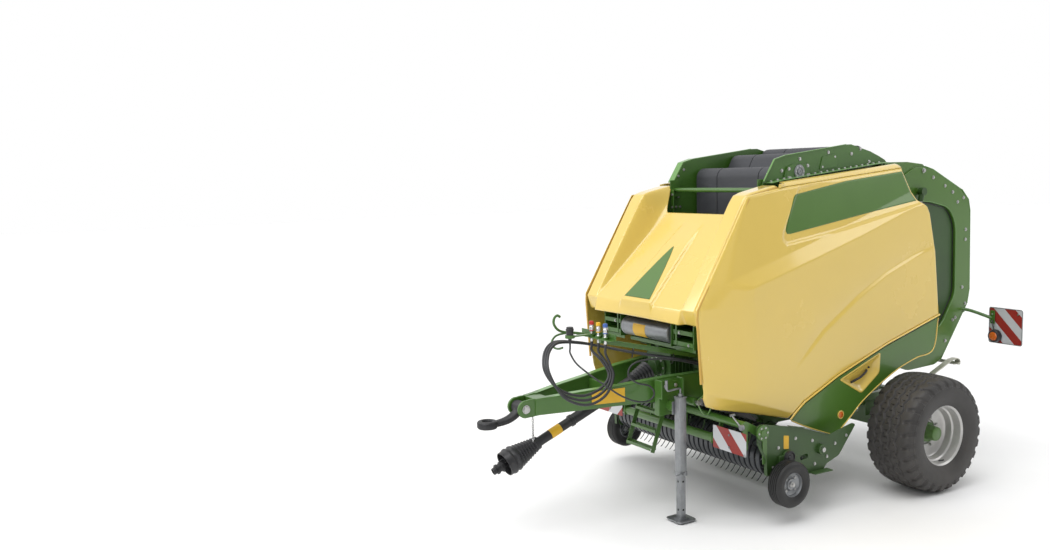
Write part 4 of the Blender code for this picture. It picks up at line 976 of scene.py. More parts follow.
work = bmesh.new()
add_x_rod(work, -1.02, 1.02, REEL.y, REEL.z, 0.035, 20)
for x in (-1.005, -0.5, 0.0, 0.5, 1.005):
    add_x_rod(work, x - 0.004, x + 0.004, REEL.y, REEL.z, 0.122, 32)
for bar in range(4):
    angle = math.radians(90 * bar + 58)
    out = Vector((0, math.cos(angle), math.sin(angle)))
    back = Vector((0, -math.sin(angle), math.cos(angle)))
    base = REEL + out * 0.105
    add_rod(work, base - X_AXIS * 1.02, base + X_AXIS * 1.02, 0.014, 12)
    for k in range(BANDS + 1):
        x = X_AXIS * (-1.0 + k * BAND_PITCH * 0.9985 + 0.001)
        tine = [base + x + back * 0.016, REEL + x + out * 0.15 + back * 0.01,
            REEL + x + out * 0.2 + back * 0.004, REEL + x + out * 0.232 - back * 0.004,
            REEL + x + out * 0.246 - back * 0.012]
        add_pipe(work, tine, [0.0038, 0.0038, 0.0038, 0.0036, 0.003], 6)
        coil = [base + x + X_AXIS * 0.01 * i + back * (0.016 * math.cos(i * 1.6)) + out * (0.016 * math.sin(i * 1.6))
                for i in range(-2, 3)]
        add_pipe(work, coil, 0.0035, 5)
piece("tines", work, FORGED, "tine_reel", smooth=40, replaces=["tine_reel"])


# ---- top plates and rollers ----
def add_panel(work, outline, y, thickness, holes=()):
    """A flat plate across Y from an outline of (x, z) points."""
    flat = bmesh.new()
    add_plate(flat, outline, y, thickness, holes)
    add_mesh(work, flat, Matrix(((0, 1, 0, 0), (1, 0, 0, 0), (0, 0, 1, 0), (0, 0, 0, 1))))


def add_hull(work, sections):
    """A solid through rings of points that all have the same count."""
    loft(work, [[work.verts.new(p) for p in ring] for ring in sections])


def add_strip(work, path, x, width, thickness):
    """A flat strip that follows (y, z) points, centred on x."""
    flat = bmesh.new()
    add_plate(flat, ribbon(path, thickness), x, width)
    add_mesh(work, flat)


TOP_PLATE = [(-1.46, 2.838), (-1.335, 3.028), (-1.2, 3.062), (-0.44, 3.154), (-0.36, 3.156), (-0.1, 3.09),
    (0.02, 3.045), (0.1, 3.01), (0.155, 2.96), (0.155, 2.88), (0.11, 2.84), (0.2, 2.4), (0.2, 0.95),
    (0.05, 0.8), (-1.38, 0.8), (-1.6, 1.0), (-1.735, 1.3), (-1.735, 2.3), (-1.5, 2.74)]
LOW_FLANGE = [(-1.43, 2.826), (-1.3, 2.848), (0.03, 2.985)]
for side in (1, -1):
    name = side_name(side)
    work = bmesh.new()
    add_plate(work, TOP_PLATE, 0.606 * side, 0.008)
    add_box(work, (0.628 * side, -0.75, 1.7), (0.036, 0.06, 1.6))
    add_x_rod(work, 0.612 * side, 0.7 * side, 0.12, 1.4, 0.03)
    add_x_rod(work, 0.61 * side, 0.624 * side, -1.1, 2.87, 0.115, 24)
    add_plate(work, rounded([(-1.2, 2.845), (-1.185, 2.965), (-0.92, 2.99), (-0.92, 2.868)], 0.012),
        0.618 * side, 0.02)
    add_plate(work, rounded([(-0.78, 2.93), (-0.74, 3.05), (-0.56, 3.07), (-0.55, 2.95)], 0.02), 0.613 * side,
        0.01)
    add_x_rod(work, 0.61 * side, 0.64 * side, 0.06, 2.93, 0.045, 20)
    piece("top_plate_" + name, work, GREEN, "chassis", bevel=0.0025,
        replaces=["chamber_wall_" + name])
    work = bmesh.new()
    wide = 0.018 if side > 0 else 0.078
    add_strip(work, [(-1.46, 2.838), (-1.335, 3.028), (-1.2, 3.064)], (0.606 + wide / 2) * side, wide, 0.006)
    add_strip(work, [(-1.335, 3.03), (-1.2, 3.064), (-0.44, 3.155)], 0.615 * side, 0.018, 0.006)
    add_strip(work, LOW_FLANGE, 0.654 * side, 0.088, 0.005)
    # the flange strips are in the light green: painted highlight
    piece("top_flange_" + name, work, GREEN_PAINTED_HIGHLIGHT, "chassis", bevel=0.0018)
    work = bmesh.new()
    slope = Vector((0, -0.103, 0.995))
    for k in range(19):
        y = -1.385 + k * 0.0765
        z = np.interp(y, *np.array(LOW_FLANGE).T)
        add_bolt(work, (0.632 * side, y, z + 0.003), slope, 0.0085, 0.011)
    for y, z in ((-0.66, 3.085), (-0.36, 3.07), (-0.12, 2.995), (-1.02, 3.03), (-0.24, 3.115), (0.05, 2.9),
            (-1.24, 2.93), (-1.17, 2.945), (-1.17, 2.865), (-0.94, 2.97), (-0.94, 2.885), (-0.74, 2.955),
            (-0.58, 3.045)):
        add_bolt(work, ((0.628 if -1.2 < y < -0.9 and z < 2.98 else 0.6105) * side, y, z), (side, 0, 0), 0.011,
            0.009)
    add_bolt_circle(work, (0.634 * side, -1.045, 2.918), 0.047, 8, side, 0.006, 0.006, washer=False)
    for y, z in ((-1.4, 2.9), (-1.33, 2.96), (-1.43, 2.6), (-1.38, 2.6), (-1.4, 2.7), (-1.44, 2.78)):
        add_bolt(work, (0.601 * side, y, z), (-side, 0, 0), 0.009, 0.008)
    piece("top_bolts_" + name, work, BOLT, "chassis", smooth=30)
    work = bmesh.new()
    add_lathe(work, [(0.626, 0.0), (0.626, 0.062), (0.634, 0.062), (0.637, 0.058), (0.637, 0.036),
        (0.632, 0.033), (0.632, 0.026), (0.64, 0.024), (0.64, 0.01), (0.635, 0.008), (0.635, 0.0)],
        (0, -1.045, 2.918), 40, (side, 0, 0), closed=False)
    piece("bearing_" + name, work, ZINC, "chassis", smooth=30)

work = bmesh.new()
add_x_rod(work, -0.59, 0.59, -1.45, 2.765, 0.021, 28)
for side in (1, -1):
    add_box(work, (0.592 * side, -1.45, 2.78), (0.008, 0.12, 0.16))
    add_box(work, (0.57 * side, -1.5, 2.62), (0.045, 0.006, 0.3))
piece("cross_tube", work, GREEN, "chassis", bevel=0.0015, replaces=["top_cross_tube"])
work = bmesh.new()
for x in (0.568, -0.568):
    for z in (2.52, 2.6, 2.72):
        add_bolt(work, (x, -1.504, z), (0, -1, 0), 0.009, 0.008)
piece("cross_tube_bolts", work, BOLT, "chassis", smooth=30)

DRUM = [(-0.575, 0.0), (-0.575, 0.078), (-0.568, 0.0845), (0.568, 0.0845), (0.575, 0.078), (0.575, 0.0)]
ROLLERS = [("belt_roller_front", TOP_ROLLERS[0], 0.598, "chassis"), ("belt_roller_middle", TOP_ROLLERS[1],
    0.598, "chassis"), ("belt_roller_rear", TOP_ROLLERS[2], 0.598, "chassis"), ("tailgate_roller_upper",
    TAIL_ROLLERS[0], 0.638, "tailgate"), ("tailgate_roller_lower", TAIL_ROLLERS[1], 0.638, "tailgate")]
for name, (y, z), reach, body in ROLLERS:
    work = bmesh.new()
    add_lathe(work, DRUM, (0, y, z), 48, closed=False)
    add_x_rod(work, -reach, reach, y, z, 0.03, 24)
    # the drums are in the dark green: painted shade
    piece(name + "_drum", work, GREEN_PAINTED_SHADE, body, smooth=30, replaces=[name])


# ---- tailgate ----
TAIL_OUTLINE = [(0.3, 2.86), (0.45, 2.93), (0.6, 2.936), (0.72, 2.905), (1.16, 2.7), (1.27, 2.6), (1.3, 2.49),
    (1.319, 1.692), (1.29, 1.56), (0.888, 1.018), (0.8, 0.975), (0.4, 0.962), (0.29, 1.0), (0.26, 1.06),
    (0.26, 2.7)]
TAIL_HOLE = [(0.4, 2.6), (0.647, 2.6), (0.965, 2.53), (1.075, 2.37), (1.085, 1.66), (0.88, 1.36), (0.4, 1.22)]
for side in (1, -1):
    name = side_name(side)
    work = bmesh.new()
    add_plate(work, TAIL_OUTLINE, 0.646 * side, 0.008)
    # the inner sheet is in the dark green: painted shade
    piece("tail_sheet_" + name, work, GREEN_PAINTED_SHADE, "tailgate", bevel=0.002)
    work = bmesh.new()
    add_plate(work, rounded(TAIL_OUTLINE, [0.03] * 3 + [0.02, 0.04, 0.03, 0.03, 0.02, 0.02, 0.02, 0.03, 0.03,
        0.02, 0.02, 0.03]), 0.664 * side, 0.026, [rounded(TAIL_HOLE, 0.09, 5)])
    arm = rounded([(-0.02, 2.985), (0.36, 2.985), (0.6, 2.96), (0.625, 2.9), (0.6, 2.845), (0.1, 2.855),
        (-0.02, 2.88)], [0.05, 0.01, 0.03, 0.04, 0.03, 0.02, 0.05], 5)
    add_plate(work, arm, 0.655 * side, 0.01)
    add_x_rod(work, 0.66 * side, 0.682 * side, 0.57, 2.9, 0.03, 20)
    add_x_rod(work, 0.65 * side, 0.672 * side, 0.06, 2.93, 0.05, 24)
    add_x_rod(work, 0.66 * side, 0.7 * side, CYLINDER_EYE_Y, CYLINDER_EYE_Z, 0.03, 20)
    # the frame is in the lighter green: painted light
    piece("tail_frame_" + name, work, GREEN_BAND_AND_LIT, "tailgate", bevel=0.004,
        replaces=["tailgate_frame"])
    work = bmesh.new()
    hole_edge = rounded(TAIL_HOLE, 0.09, 5)
    seal = [(0.679 * side, y, z) for y, z in scaled_outline(hole_edge, -0.004)]
    add_pipe(work, seal, 0.0035, 6, closed=True)
    # the lip is in the light green: painted highlight
    piece("tail_lip_" + name, work, GREEN_PAINTED_HIGHLIGHT, "tailgate")
    work = bmesh.new()
    inner = rounded(scaled_outline(TAIL_HOLE, 0.012), 0.08, 5)
    add_pipe(work, [(0.6525 * side, y, z) for y, z in inner], 0.0045, 6, closed=True)
    piece("tail_seal_" + name, work, PLASTIC, "tailgate")
    work = bmesh.new()
    edge = [(1.17, 2.705), (1.278, 2.6), (1.306, 2.49), (1.323, 1.692), (1.292, 1.552), (0.892, 1.012)]
    add_strip(work, edge, 0.65 * side, 0.056, 0.006)
    add_strip(work, [(0.6, 2.94), (0.72, 2.909), (1.163, 2.703)], 0.65 * side, 0.056, 0.006)
    # the edge strips are in the light green: painted highlight
    piece("tail_edge_" + name, work, GREEN_PAINTED_HIGHLIGHT, "tailgate", bevel=0.002)
    work = bmesh.new()
    for y, z in ((1.19, 2.62), (1.1, 2.58), (1.235, 2.3), (1.235, 2.2), (1.2, 1.72), (1.25, 1.55), (1.1, 1.42),
            (1.06, 1.4), (0.95, 1.2), (0.72, 2.83), (0.9, 2.745), (1.02, 2.68)):
        add_bolt(work, (0.678 * side, y, z), (side, 0, 0), 0.012, 0.01)
    add_bolt(work, (0.683 * side, 0.57, 2.9), (side, 0, 0), 0.016, 0.014)
    add_bolt(work, (0.673 * side, 0.06, 2.93), (side, 0, 0), 0.022, 0.016)
    piece("tail_bolts_" + name, work, BOLT, "tailgate", smooth=30)
    work = bmesh.new()
    light_arm = smooth_path(mirrored([(0.655, 1.2, 1.5), (0.75, 1.26, 1.48), (0.92, 1.335, 1.42)], side), 0.02)
    add_pipe(work, light_arm, 0.016, 14)
    add_plate(work, rounded([(1.12, 1.44), (1.12, 1.56), (1.26, 1.55), (1.27, 1.46)], 0.015), 0.662 * side,
        0.012)
    add_box(work, (0.93 * side, 1.338, 1.43), (0.045, 0.014, 0.13))
    piece("light_arm_" + name, work, GREEN, "tailgate", bevel=0.002)
    work = bmesh.new()
    board = rounded([(0.885, 1.175), (0.885, 1.525), (1.235, 1.525), (1.235, 1.175)], 0.022)
    add_panel(work, [(x * side, z) for x, z in board], 1.356, 0.006)
    piece("light_board_plate_" + name, work, LAMP_STRIPES[side], "tailgate", bevel=0.0015,
        replaces=["light_board_" + name])
    work = bmesh.new()
    rim = [(x * side, 1.353, z) for x, z in board]
    add_pipe(work, rim, 0.0045, 6, closed=True)
    piece("light_board_rim_" + name, work, ZINC, "tailgate")
    work = bmesh.new()
    add_lathe(work, [(1.352, 0.0), (1.352, 0.062), (1.325, 0.066), (1.302, 0.06), (1.296, 0.05), (1.296, 0.0)],
        (0.965 * side, 0, 1.245), 32, (0, 1, 0), closed=False)
    add_box(work, (1.06 * side, 1.372, 1.25), (0.22, 0.022, 0.1))
    add_pipe(work, smooth_path(mirrored([(0.965, 1.31, 1.305), (0.94, 1.325, 1.36), (0.935, 1.33, 1.4)], side),
        0.012), 0.006, 8)
    piece("lamp_" + name, work, PLASTIC, "tailgate", smooth=30, bevel=0.002)
    work = bmesh.new()
    add_lathe(work, [(1.3, 0.0), (1.3, 0.042), (1.2955, 0.042), (1.291, 0.034), (1.2895, 0.0)],
        (0.965 * side, 0, 1.245), 28, (0, 1, 0), closed=False)
    piece("lamp_glass_" + name, work, ORANGE, "tailgate")
    work = bmesh.new()
    add_box(work, (1.06 * side, 1.385, 1.25), (0.2, 0.006, 0.085))
    piece("rear_lamp_glass_" + name, work, RED_CAP, "tailgate", bevel=0.002)
    work = bmesh.new()
    for x, z in ((0.93, 1.39), (0.93, 1.46), (1.19, 1.48)):
        add_bolt(work, (x * side, 1.35 if x > 1 else 1.331, z), (0, -1, 0), 0.007, 0.006)
    piece("light_board_bolts_" + name, work, BOLT, "tailgate", smooth=30)

work = bmesh.new()
for y, z in ((1.22, 2.42), (1.24, 1.78), (0.95, 1.14)):
    add_x_rod(work, -0.642, 0.642, y, z, 0.034, 24)
    for x in (-0.632, 0.632):
        add_x_rod(work, x - 0.006, x + 0.006, y, z, 0.052, 24)
piece("tail_cross_tubes", work, GREEN, "tailgate", smooth=30)

for side in (1, -1):
    name = side_name(side)
    base = Vector((0.725 * side, 0.12, 1.4))
    eye = Vector((0.725 * side, CYLINDER_EYE_Y, CYLINDER_EYE_Z))
    along = (eye - base).normalized()
    across = Vector((0.025, 0, 0))
    work = bmesh.new()
    add_rod(work, base - across, base + across, 0.044, 24)
    add_lathe(work, [(0.036, 0.0), (0.036, 0.03), (0.05, 0.038), (0.8, 0.038), (0.802, 0.0395), (0.858, 0.0395),
        (0.86, 0.036), (0.86, 0.0215), (0.8, 0.0215)], base, 32, along, closed=False)
    add_pipe(work, [base + along * 0.82 + Vector((0, 0.038, 0)), base + along * 0.82 + Vector((0, 0.06, 0)),
        base + along * 0.78 + Vector((0, 0.07, 0)), base + along * 0.2 + Vector((0, 0.055, 0))], 0.007, 8)
    # the barrel is in the dark green: painted shade
    piece("ram_barrel_" + name, work, GREEN_PAINTED_SHADE, "cylinder_barrel_" + name, smooth=30,
        replaces=["cylinder_barrel_" + name])
    work = bmesh.new()
    add_rod(work, eye - across, eye + across, 0.039, 24)
    add_rod(work, eye - along * 0.1, eye - along * 0.02, 0.026, 24)
    # the eye is in the dark green: painted shade
    piece("ram_eye_" + name, work, GREEN_PAINTED_SHADE, "cylinder_rod_" + name, smooth=30)
    work = bmesh.new()
    add_rod(work, base + along * 0.12, eye - along * 0.09, 0.0195, 24)
    piece("ram_rod_" + name, work, CHROME, "cylinder_rod_" + name, smooth=30,
        replaces=["cylinder_rod_" + name])


# ---- drawbar, hitch and drive shaft ----
def beam_ring(x, y, low, high, width):
    return [(x - width / 2, y, low), (x + width / 2, y, low), (x + width / 2, y, high),
        (x - width / 2, y, high)]


CLEVIS = Vector((0, -3.586, 1.03))
work = bmesh.new()
for side in (1, -1):
    spans = [(0.08, -3.5, 0.968, 1.108, 0.05), (0.165, -3.15, 0.975, 1.13, 0.058), (0.25, -2.8, 0.985, 1.155,
        0.07), (0.355, -2.33, 0.988, 1.195, 0.074), (0.447, -1.8606, 0.99, 1.215, 0.074)]
    add_hull(work, [beam_ring(x * side, y, low, high, width) for x, y, low, high, width in spans])
    ear = [(-3.42, 0.965), (-3.42, 1.108), (-3.55, 1.108)] + arc((CLEVIS.y, CLEVIS.z), 0.074, 80, 280, 12)
    add_plate(work, ear, 0.082 * side, 0.024)
add_hull(work, [[(-0.1, -3.5, 0.975), (0.1, -3.5, 0.975), (0.1, -3.5, 1.105), (-0.1, -3.5, 1.105)],
    [(-0.13, -3.36, 0.975), (0.13, -3.36, 0.975), (0.13, -3.36, 1.105), (-0.13, -3.36, 1.105)]])
add_box(work, (0, -1.92, 1.015), (0.9, 0.08, 0.06))
add_box(work, (0, -2.72, 1.07), (0.5, 0.05, 0.12))
add_box(work, (0.435, -2.385, 1.04), (0.06, 0.24, 0.3))
add_box(work, (0.46, -2.27, 1.12), (0.09, 0.012, 0.16))
add_box(work, (0.46, -2.5, 1.12), (0.09, 0.012, 0.16))
add_x_rod(work, 0.44, 0.545, -2.385, 0.97, 0.045, 28)
add_x_rod(work, 0.46, 0.56, -2.18, 0.985, 0.036, 24)
piece("drawbar_beams", work, GREEN, "chassis", bevel=0.006, segments=3, replaces=["drawbar"])
# thin light green strips on the beams' top edges: painted highlight
work = bmesh.new()
for side in (1, -1):
    spans = [(0.098, -3.4, 1.111), (0.165, -3.15, 1.133), (0.25, -2.8, 1.158), (0.355, -2.33, 1.198),
        (0.447, -1.87, 1.218)]
    add_hull(work, [beam_ring(x * side, y, top - 0.0015, top + 0.0015, 0.062) for x, y, top in spans])
piece("drawbar_top_highlights", work, GREEN_PAINTED_HIGHLIGHT, "chassis")
work = bmesh.new()
add_lathe(work, [(0.094, 0.0), (0.094, 0.036), (0.098, 0.036), (0.098, 0.03), (0.112, 0.029), (0.116, 0.024),
    (0.116, 0.0)], (0, CLEVIS.y, CLEVIS.z), 28, closed=False)
add_lathe(work, [(-0.094, 0.0), (-0.094, 0.034), (-0.104, 0.032), (-0.108, 0.0)], (0, CLEVIS.y, CLEVIS.z), 28,
    closed=False)
for place in ((0.474, -2.33, 1.14), (0.474, -2.44, 1.14), (0.474, -2.33, 1.03)):
    add_bolt(work, place, (1, 0, 0), 0.012, 0.01)
add_x_rod(work, 0.552, 0.6, -2.18, 0.985, 0.016, 20)
add_x_rod(work, 0.59, 0.597, -2.18, 0.985, 0.024, 20)
piece("drawbar_bolts", work, BOLT, "chassis", smooth=30, bevel=0.001)
work = bmesh.new()
loop = smooth_path([(0.58, -2.18, 1.0), (0.588, -2.12, 1.04), (0.592, -2.06, 1.03), (0.592, -2.04, 0.96),
    (0.59, -2.06, 0.89), (0.588, -2.1, 0.87), (0.585, -2.14, 0.9), (0.58, -2.175, 0.965)], 0.012)
add_pipe(work, loop, 0.006, 8, closed=True)
# the loop is in the light green: painted highlight
piece("jack_pin_loop", work, GREEN_PAINTED_HIGHLIGHT, "chassis")
work = bmesh.new()
add_hull(work, [[(0.233, -3.03, 1.018), (0.236, -3.03, 1.018), (0.236, -3.03, 1.128), (0.233, -3.03, 1.128)],
    [(0.302, -2.74, 1.02), (0.305, -2.74, 1.02), (0.305, -2.74, 1.14), (0.302, -2.74, 1.14)]])
piece("blank_label_drawbar", work, LABEL, "chassis")

work = bmesh.new()
arm = smooth_path([(0, -3.6, 1.015), (0, -3.65, 0.972), (0, -3.715, 0.943), (0, -3.79, 0.93), (0, -3.85, 0.93)],
    0.012)
add_pipe(work, arm, [0.05 - 0.012 * i / (len(arm) - 1) for i in range(len(arm))], 20, flat=0.72)
add_x_rod(work, -0.062, 0.062, CLEVIS.y, CLEVIS.z, 0.054, 32)
ring = [(0.9, 0.05), (0.906, 0.044), (0.926, 0.044), (0.9325, 0.044), (0.958, 0.044), (0.964, 0.05),
    (0.965, 0.06), (0.962, 0.076), (0.95, 0.085), (0.915, 0.085), (0.903, 0.076), (0.9, 0.062)]
add_lathe(work, ring, (0, -3.9, 0), 48, (0, 0, 1))
piece("hitch_ring", work, FORGED, "chassis", smooth=45, replaces=["hitch_eye"])

GEARBOX = Vector((0, -2.02, 1.2))
SHAFT_START = Vector((0, GEARBOX.y - 0.2, GEARBOX.z))
SHAFT_TIP = Vector((0, -3.86, 0.53))
SHAFT_ALONG = (SHAFT_TIP - SHAFT_START).normalized()
TIP = (SHAFT_TIP - SHAFT_START).length  # how far along the shaft its tip is


def bellows(start, end, first, last, ribs, depth):
    """(along, radius) points of a corrugated sleeve."""
    made = []
    for k in range(ribs * 6 + 1):
        t = k / (ribs * 6)
        wave = math.cos(t * ribs * 2 * math.pi)
        made.append((start + (end - start) * t, first + (last - first) * t - depth * (0.5 - 0.5 * wave)))
    return made


work = bmesh.new()
rear_boot = bellows(0.05, 0.235, 0.088, 0.062, 6, 0.012)
profile = [(0.05, 0.07)] + rear_boot + [(0.245, 0.048), (TIP * 0.52, 0.046), (TIP * 0.52 + 0.004, 0.052),
    (TIP * 0.52 + 0.03, 0.052), (TIP * 0.52 + 0.034, 0.041), (TIP - 0.475, 0.041), (TIP - 0.47, 0.056),
    (TIP - 0.43, 0.058)]
profile += bellows(TIP - 0.425, TIP - 0.235, 0.066, 0.106, 7, 0.014)
profile += [(TIP - 0.23, 0.108), (TIP - 0.215, 0.112), (TIP - 0.205, 0.104), (TIP - 0.19, 0.104),
    (TIP - 0.18, 0.113), (TIP - 0.165, 0.114), (TIP - 0.15, 0.106), (TIP - 0.12, 0.105), (TIP - 0.118, 0.098),
    (TIP - 0.23, 0.095), (TIP - 0.4, 0.05), (TIP - 0.42, 0.034), (0.055, 0.034)]
add_lathe(work, profile, SHAFT_START, 48, SHAFT_ALONG)
piece("shaft_guard", work, PLASTIC, "chassis", smooth=40, replaces=["pto_guard"])
work = bmesh.new()
add_lathe(work, [(TIP * 0.6, 0.0), (TIP * 0.6, 0.0425), (TIP * 0.6 + 0.11, 0.0425), (TIP * 0.6 + 0.11, 0.0)],
    SHAFT_START, 32, SHAFT_ALONG, closed=False)
piece("blank_label_shaft", work, LABEL, "chassis", smooth=30)
work = bmesh.new()
side_axis = SHAFT_ALONG.cross(X_AXIS).normalized()
add_lathe(work, [(TIP - 0.42, 0.0), (TIP - 0.42, 0.028), (TIP - 0.245, 0.028), (TIP - 0.24, 0.0)], SHAFT_START,
    24, SHAFT_ALONG, closed=False)
cross_at = SHAFT_START + SHAFT_ALONG * (TIP - 0.165)
for axis, back in ((X_AXIS, -1), (side_axis, 1)):
    add_rod(work, cross_at - axis * 0.046, cross_at + axis * 0.046, 0.013, 16)
    for way in (1, -1):
        root = cross_at + axis * 0.037 * way
        add_beam(work, root + SHAFT_ALONG * 0.014 * -back, root + SHAFT_ALONG * 0.075 * back, 0.018, 0.032)
        add_rod(work, root - axis * 0.011, root + axis * 0.011, 0.022, 20)
add_lathe(work, [(TIP - 0.1, 0.02), (TIP - 0.1, 0.044), (TIP - 0.08, 0.046), (TIP - 0.072, 0.036),
    (TIP - 0.052, 0.036), (TIP - 0.05, 0.043), (TIP - 0.034, 0.043), (TIP - 0.032, 0.03), (TIP - 0.002, 0.029),
    (TIP - 0.002, 0.02)], SHAFT_START, 32, SHAFT_ALONG)
piece("shaft_joint", work, FORGED, "chassis", smooth=35, replaces=["pto_shaft"])


def add_chain(work, start, end, link=0.03, wire=0.0028):
    """Oval links from start to end, each turned a quarter round from the last."""
    start, end = Vector(start), Vector(end)
    along = (end - start).normalized()
    count = max(round((end - start).length / (link * 0.78)), 2)
    for k in range(count):
        centre = start.lerp(end, (k + 0.5) / count)
        across = along.orthogonal().normalized()
        if k % 2:
            across = along.cross(across)
        points = []
        for j in range(14):
            a = 2 * math.pi * j / 14
            rise = 0.0075 * math.sin(a) + math.copysign(link / 2 - 0.0075, math.sin(a))
            points.append(centre + across * 0.0082 * math.cos(a) + along * rise)
        add_pipe(work, points, wire, 6, closed=True)


work = bmesh.new()
clamp_at = (-3.47 - SHAFT_START.y) / SHAFT_ALONG.y
clamp = SHAFT_START + SHAFT_ALONG * clamp_at
for x, y in ((-0.032, -3.445), (0.032, -3.49)):
    add_chain(work, (x, y, 0.972), (x * 1.25, y - 0.004, clamp.z + 0.04))
piece("shaft_chains", work, CHROME, "chassis", smooth=40)
work = bmesh.new()
add_lathe(work, [(clamp_at - 0.012, 0.04), (clamp_at - 0.012, 0.048), (clamp_at + 0.012, 0.048),
    (clamp_at + 0.012, 0.04)], SHAFT_START, 32, SHAFT_ALONG)
add_box(work, clamp + Vector((0, 0, 0.052)), (0.03, 0.022, 0.02))
piece("shaft_clamp", work, PLASTIC, "chassis", smooth=35)


# ---- hose holder ----
work = bmesh.new()
add_beam(work, (0.25, HOLDER_Y - 0.02, 1.554), (0.5, -1.88, 1.315), 0.04, 0.036)
add_beam(work, (0.277, HOLDER_Y - 0.02, 1.575), (0.527, -1.88, 1.336), 0.026, 0.005)
add_box(work, (0.5, -1.868, 1.29), (0.17, 0.074, 0.13))
add_box(work, (0.16, HOLDER_Y, 1.568), (0.5, 0.06, 0.008))
add_box(work, (0.16, HOLDER_Y + 0.03, 1.592), (0.5, 0.006, 0.05))
add_beam(work, (PLUG[0], HOLDER_Y, 1.59), (PLUG[0], PLUG[1] + 0.03, 1.59), 0.045, 0.01)
for x in HOSE_X:
    add_rod(work, (x, HOLDER_Y, 1.56), (x, HOLDER_Y, 1.59), 0.026, 24)
add_rod(work, (*PLUG, 1.578), (*PLUG, 1.604), 0.041, 28)
piece("hose_rack", work, GREEN, "chassis", bevel=0.002, replaces=["hose_holder"])
work = bmesh.new()
hook = smooth_path([(0.02, -2.95, 1.585), (0.0, -3.04, 1.6), (-0.02, -3.14, 1.615), (-0.02, -3.2, 1.645),
    (-0.02, -3.232, 1.695), (-0.02, -3.225, 1.74), (-0.02, -3.195, 1.76), (-0.02, -3.168, 1.745)], 0.01)
add_pipe(work, hook, 0.011, 14)
lower = smooth_path([(-0.06, -2.97, 1.58), (-0.1, -3.06, 1.585), (-0.115, -3.15, 1.57), (-0.11, -3.2, 1.52),
    (-0.07, -3.2, 1.48), (-0.02, -3.19, 1.475), (0.03, -3.18, 1.49)], 0.01)
add_pipe(work, lower, 0.009, 12)
piece("hose_hooks", work, GREEN, "chassis", smooth=50)
work = bmesh.new()
for index in range(3):
    end = HOSE_END + X_AXIS * HOSE_SPACING * index
    add_rod(work, end - Vector((0, 0.075, 0)), end - Vector((0, 0.001, 0)), 0.015, 20)
    add_rod(work, end - Vector((0, 0.035, 0)), end - Vector((0, 0.012, 0)), 0.0185, 6)
    add_rod(work, end - Vector((0, 0.092, 0)), end - Vector((0, 0.076, 0)), 0.0135, 16)
piece("hose_fittings", work, CHROME, "chassis", smooth=30, bevel=0.0008)
work = bmesh.new()
bundle = hose_route(1)
for share in (0.74, 0.86):
    at = round(share * (len(bundle) - 1))
    along = (bundle[at + 1] - bundle[at]).normalized()
    add_lathe(work, [(-0.004, 0.046), (-0.004, 0.0485), (0.004, 0.0485), (0.004, 0.046)], bundle[at], 24, along)
piece("hose_ties", work, PLASTIC, "chassis", smooth=30)


# ---- net roll, brackets and gearbox ----
work = bmesh.new()
roll_y, roll_z = -2.22, 1.55
add_lathe(work, [(-0.335, 0.0), (-0.335, 0.078), (-0.33, 0.088), (-0.3, 0.089), (-0.296, 0.0865),
    (0.296, 0.0865), (0.3, 0.089), (0.33, 0.088), (0.335, 0.078), (0.335, 0.0)], (0, roll_y, roll_z), 56,
    closed=False)
add_x_rod(work, -0.39, 0.39, roll_y, roll_z, 0.028, 24)
piece("net_roll_tube", work, ZINC, "chassis", smooth=30, replaces=["net_roll"])
work = bmesh.new()
for k in range(12):
    inner, outer = (arc((roll_y, roll_z), r, 150 + 7 * k, 157 + 7 * k, 1) for r in (0.0868, 0.0885))
    quad = [inner[0], outer[0], outer[1], inner[1]]
    add_hull(work, [[(x, y, z) for y, z in quad] for x in (-0.155, 0.02)])
bmesh.ops.remove_doubles(work, verts=work.verts, dist=1e-6)
piece("blank_label_roll", work, LABEL, "chassis", smooth=50)
work = bmesh.new()
for side in (1, -1):
    add_box(work, (0.365 * side, -2.06, 1.57), (0.008, 0.46, 0.24))
    add_box(work, (0.635 * side, -2.05, 1.57), (0.012, 0.44, 0.24))
    for z, front in ((1.688, -2.24), (1.6, -2.275), (1.505, -2.275), (1.455, -2.24)):
        add_box(work, (0.5 * side, (front - 1.87) / 2, z), (0.262, -1.87 - front, 0.006))
        add_box(work, (0.5 * side, front + 0.003, z - 0.018), (0.262, 0.006, 0.036))
    add_box(work, (0.42 * side, -2.277, 1.57), (0.018, 0.006, 0.2))
    add_x_rod(work, 0.36 * side, 0.376 * side, roll_y, roll_z, 0.055, 24)
add_box(work, (0, -1.845, 1.57), (1.22, 0.01, 0.24))
add_box(work, (0, -2.16, 1.425), (0.7, 0.05, 0.035))
piece("net_brackets", work, GREEN, "chassis", bevel=0.0018, replaces=["net_box"])
work = bmesh.new()
for side in (1, -1):
    for x, z in ((0.46, 1.665), (0.56, 1.665), (0.46, 1.58), (0.58, 1.484)):
        add_bolt(work, (x * side, -2.276 if z < 1.65 else -2.238, z), (0, -1, 0), 0.009, 0.008)
piece("net_bracket_bolts", work, BOLT, "chassis", smooth=30)
work = bmesh.new()
add_box(work, (0, -1.86, 1.42), (1.16, 0.03, 0.1))
for side in (1, -1):
    add_box(work, (0.42 * side, -1.93, 1.36), (0.1, 0.1, 0.05))
    add_rod(work, (0.26 * side, -1.95, 1.34), (0.26 * side, -1.9, 1.34), 0.03, 24)
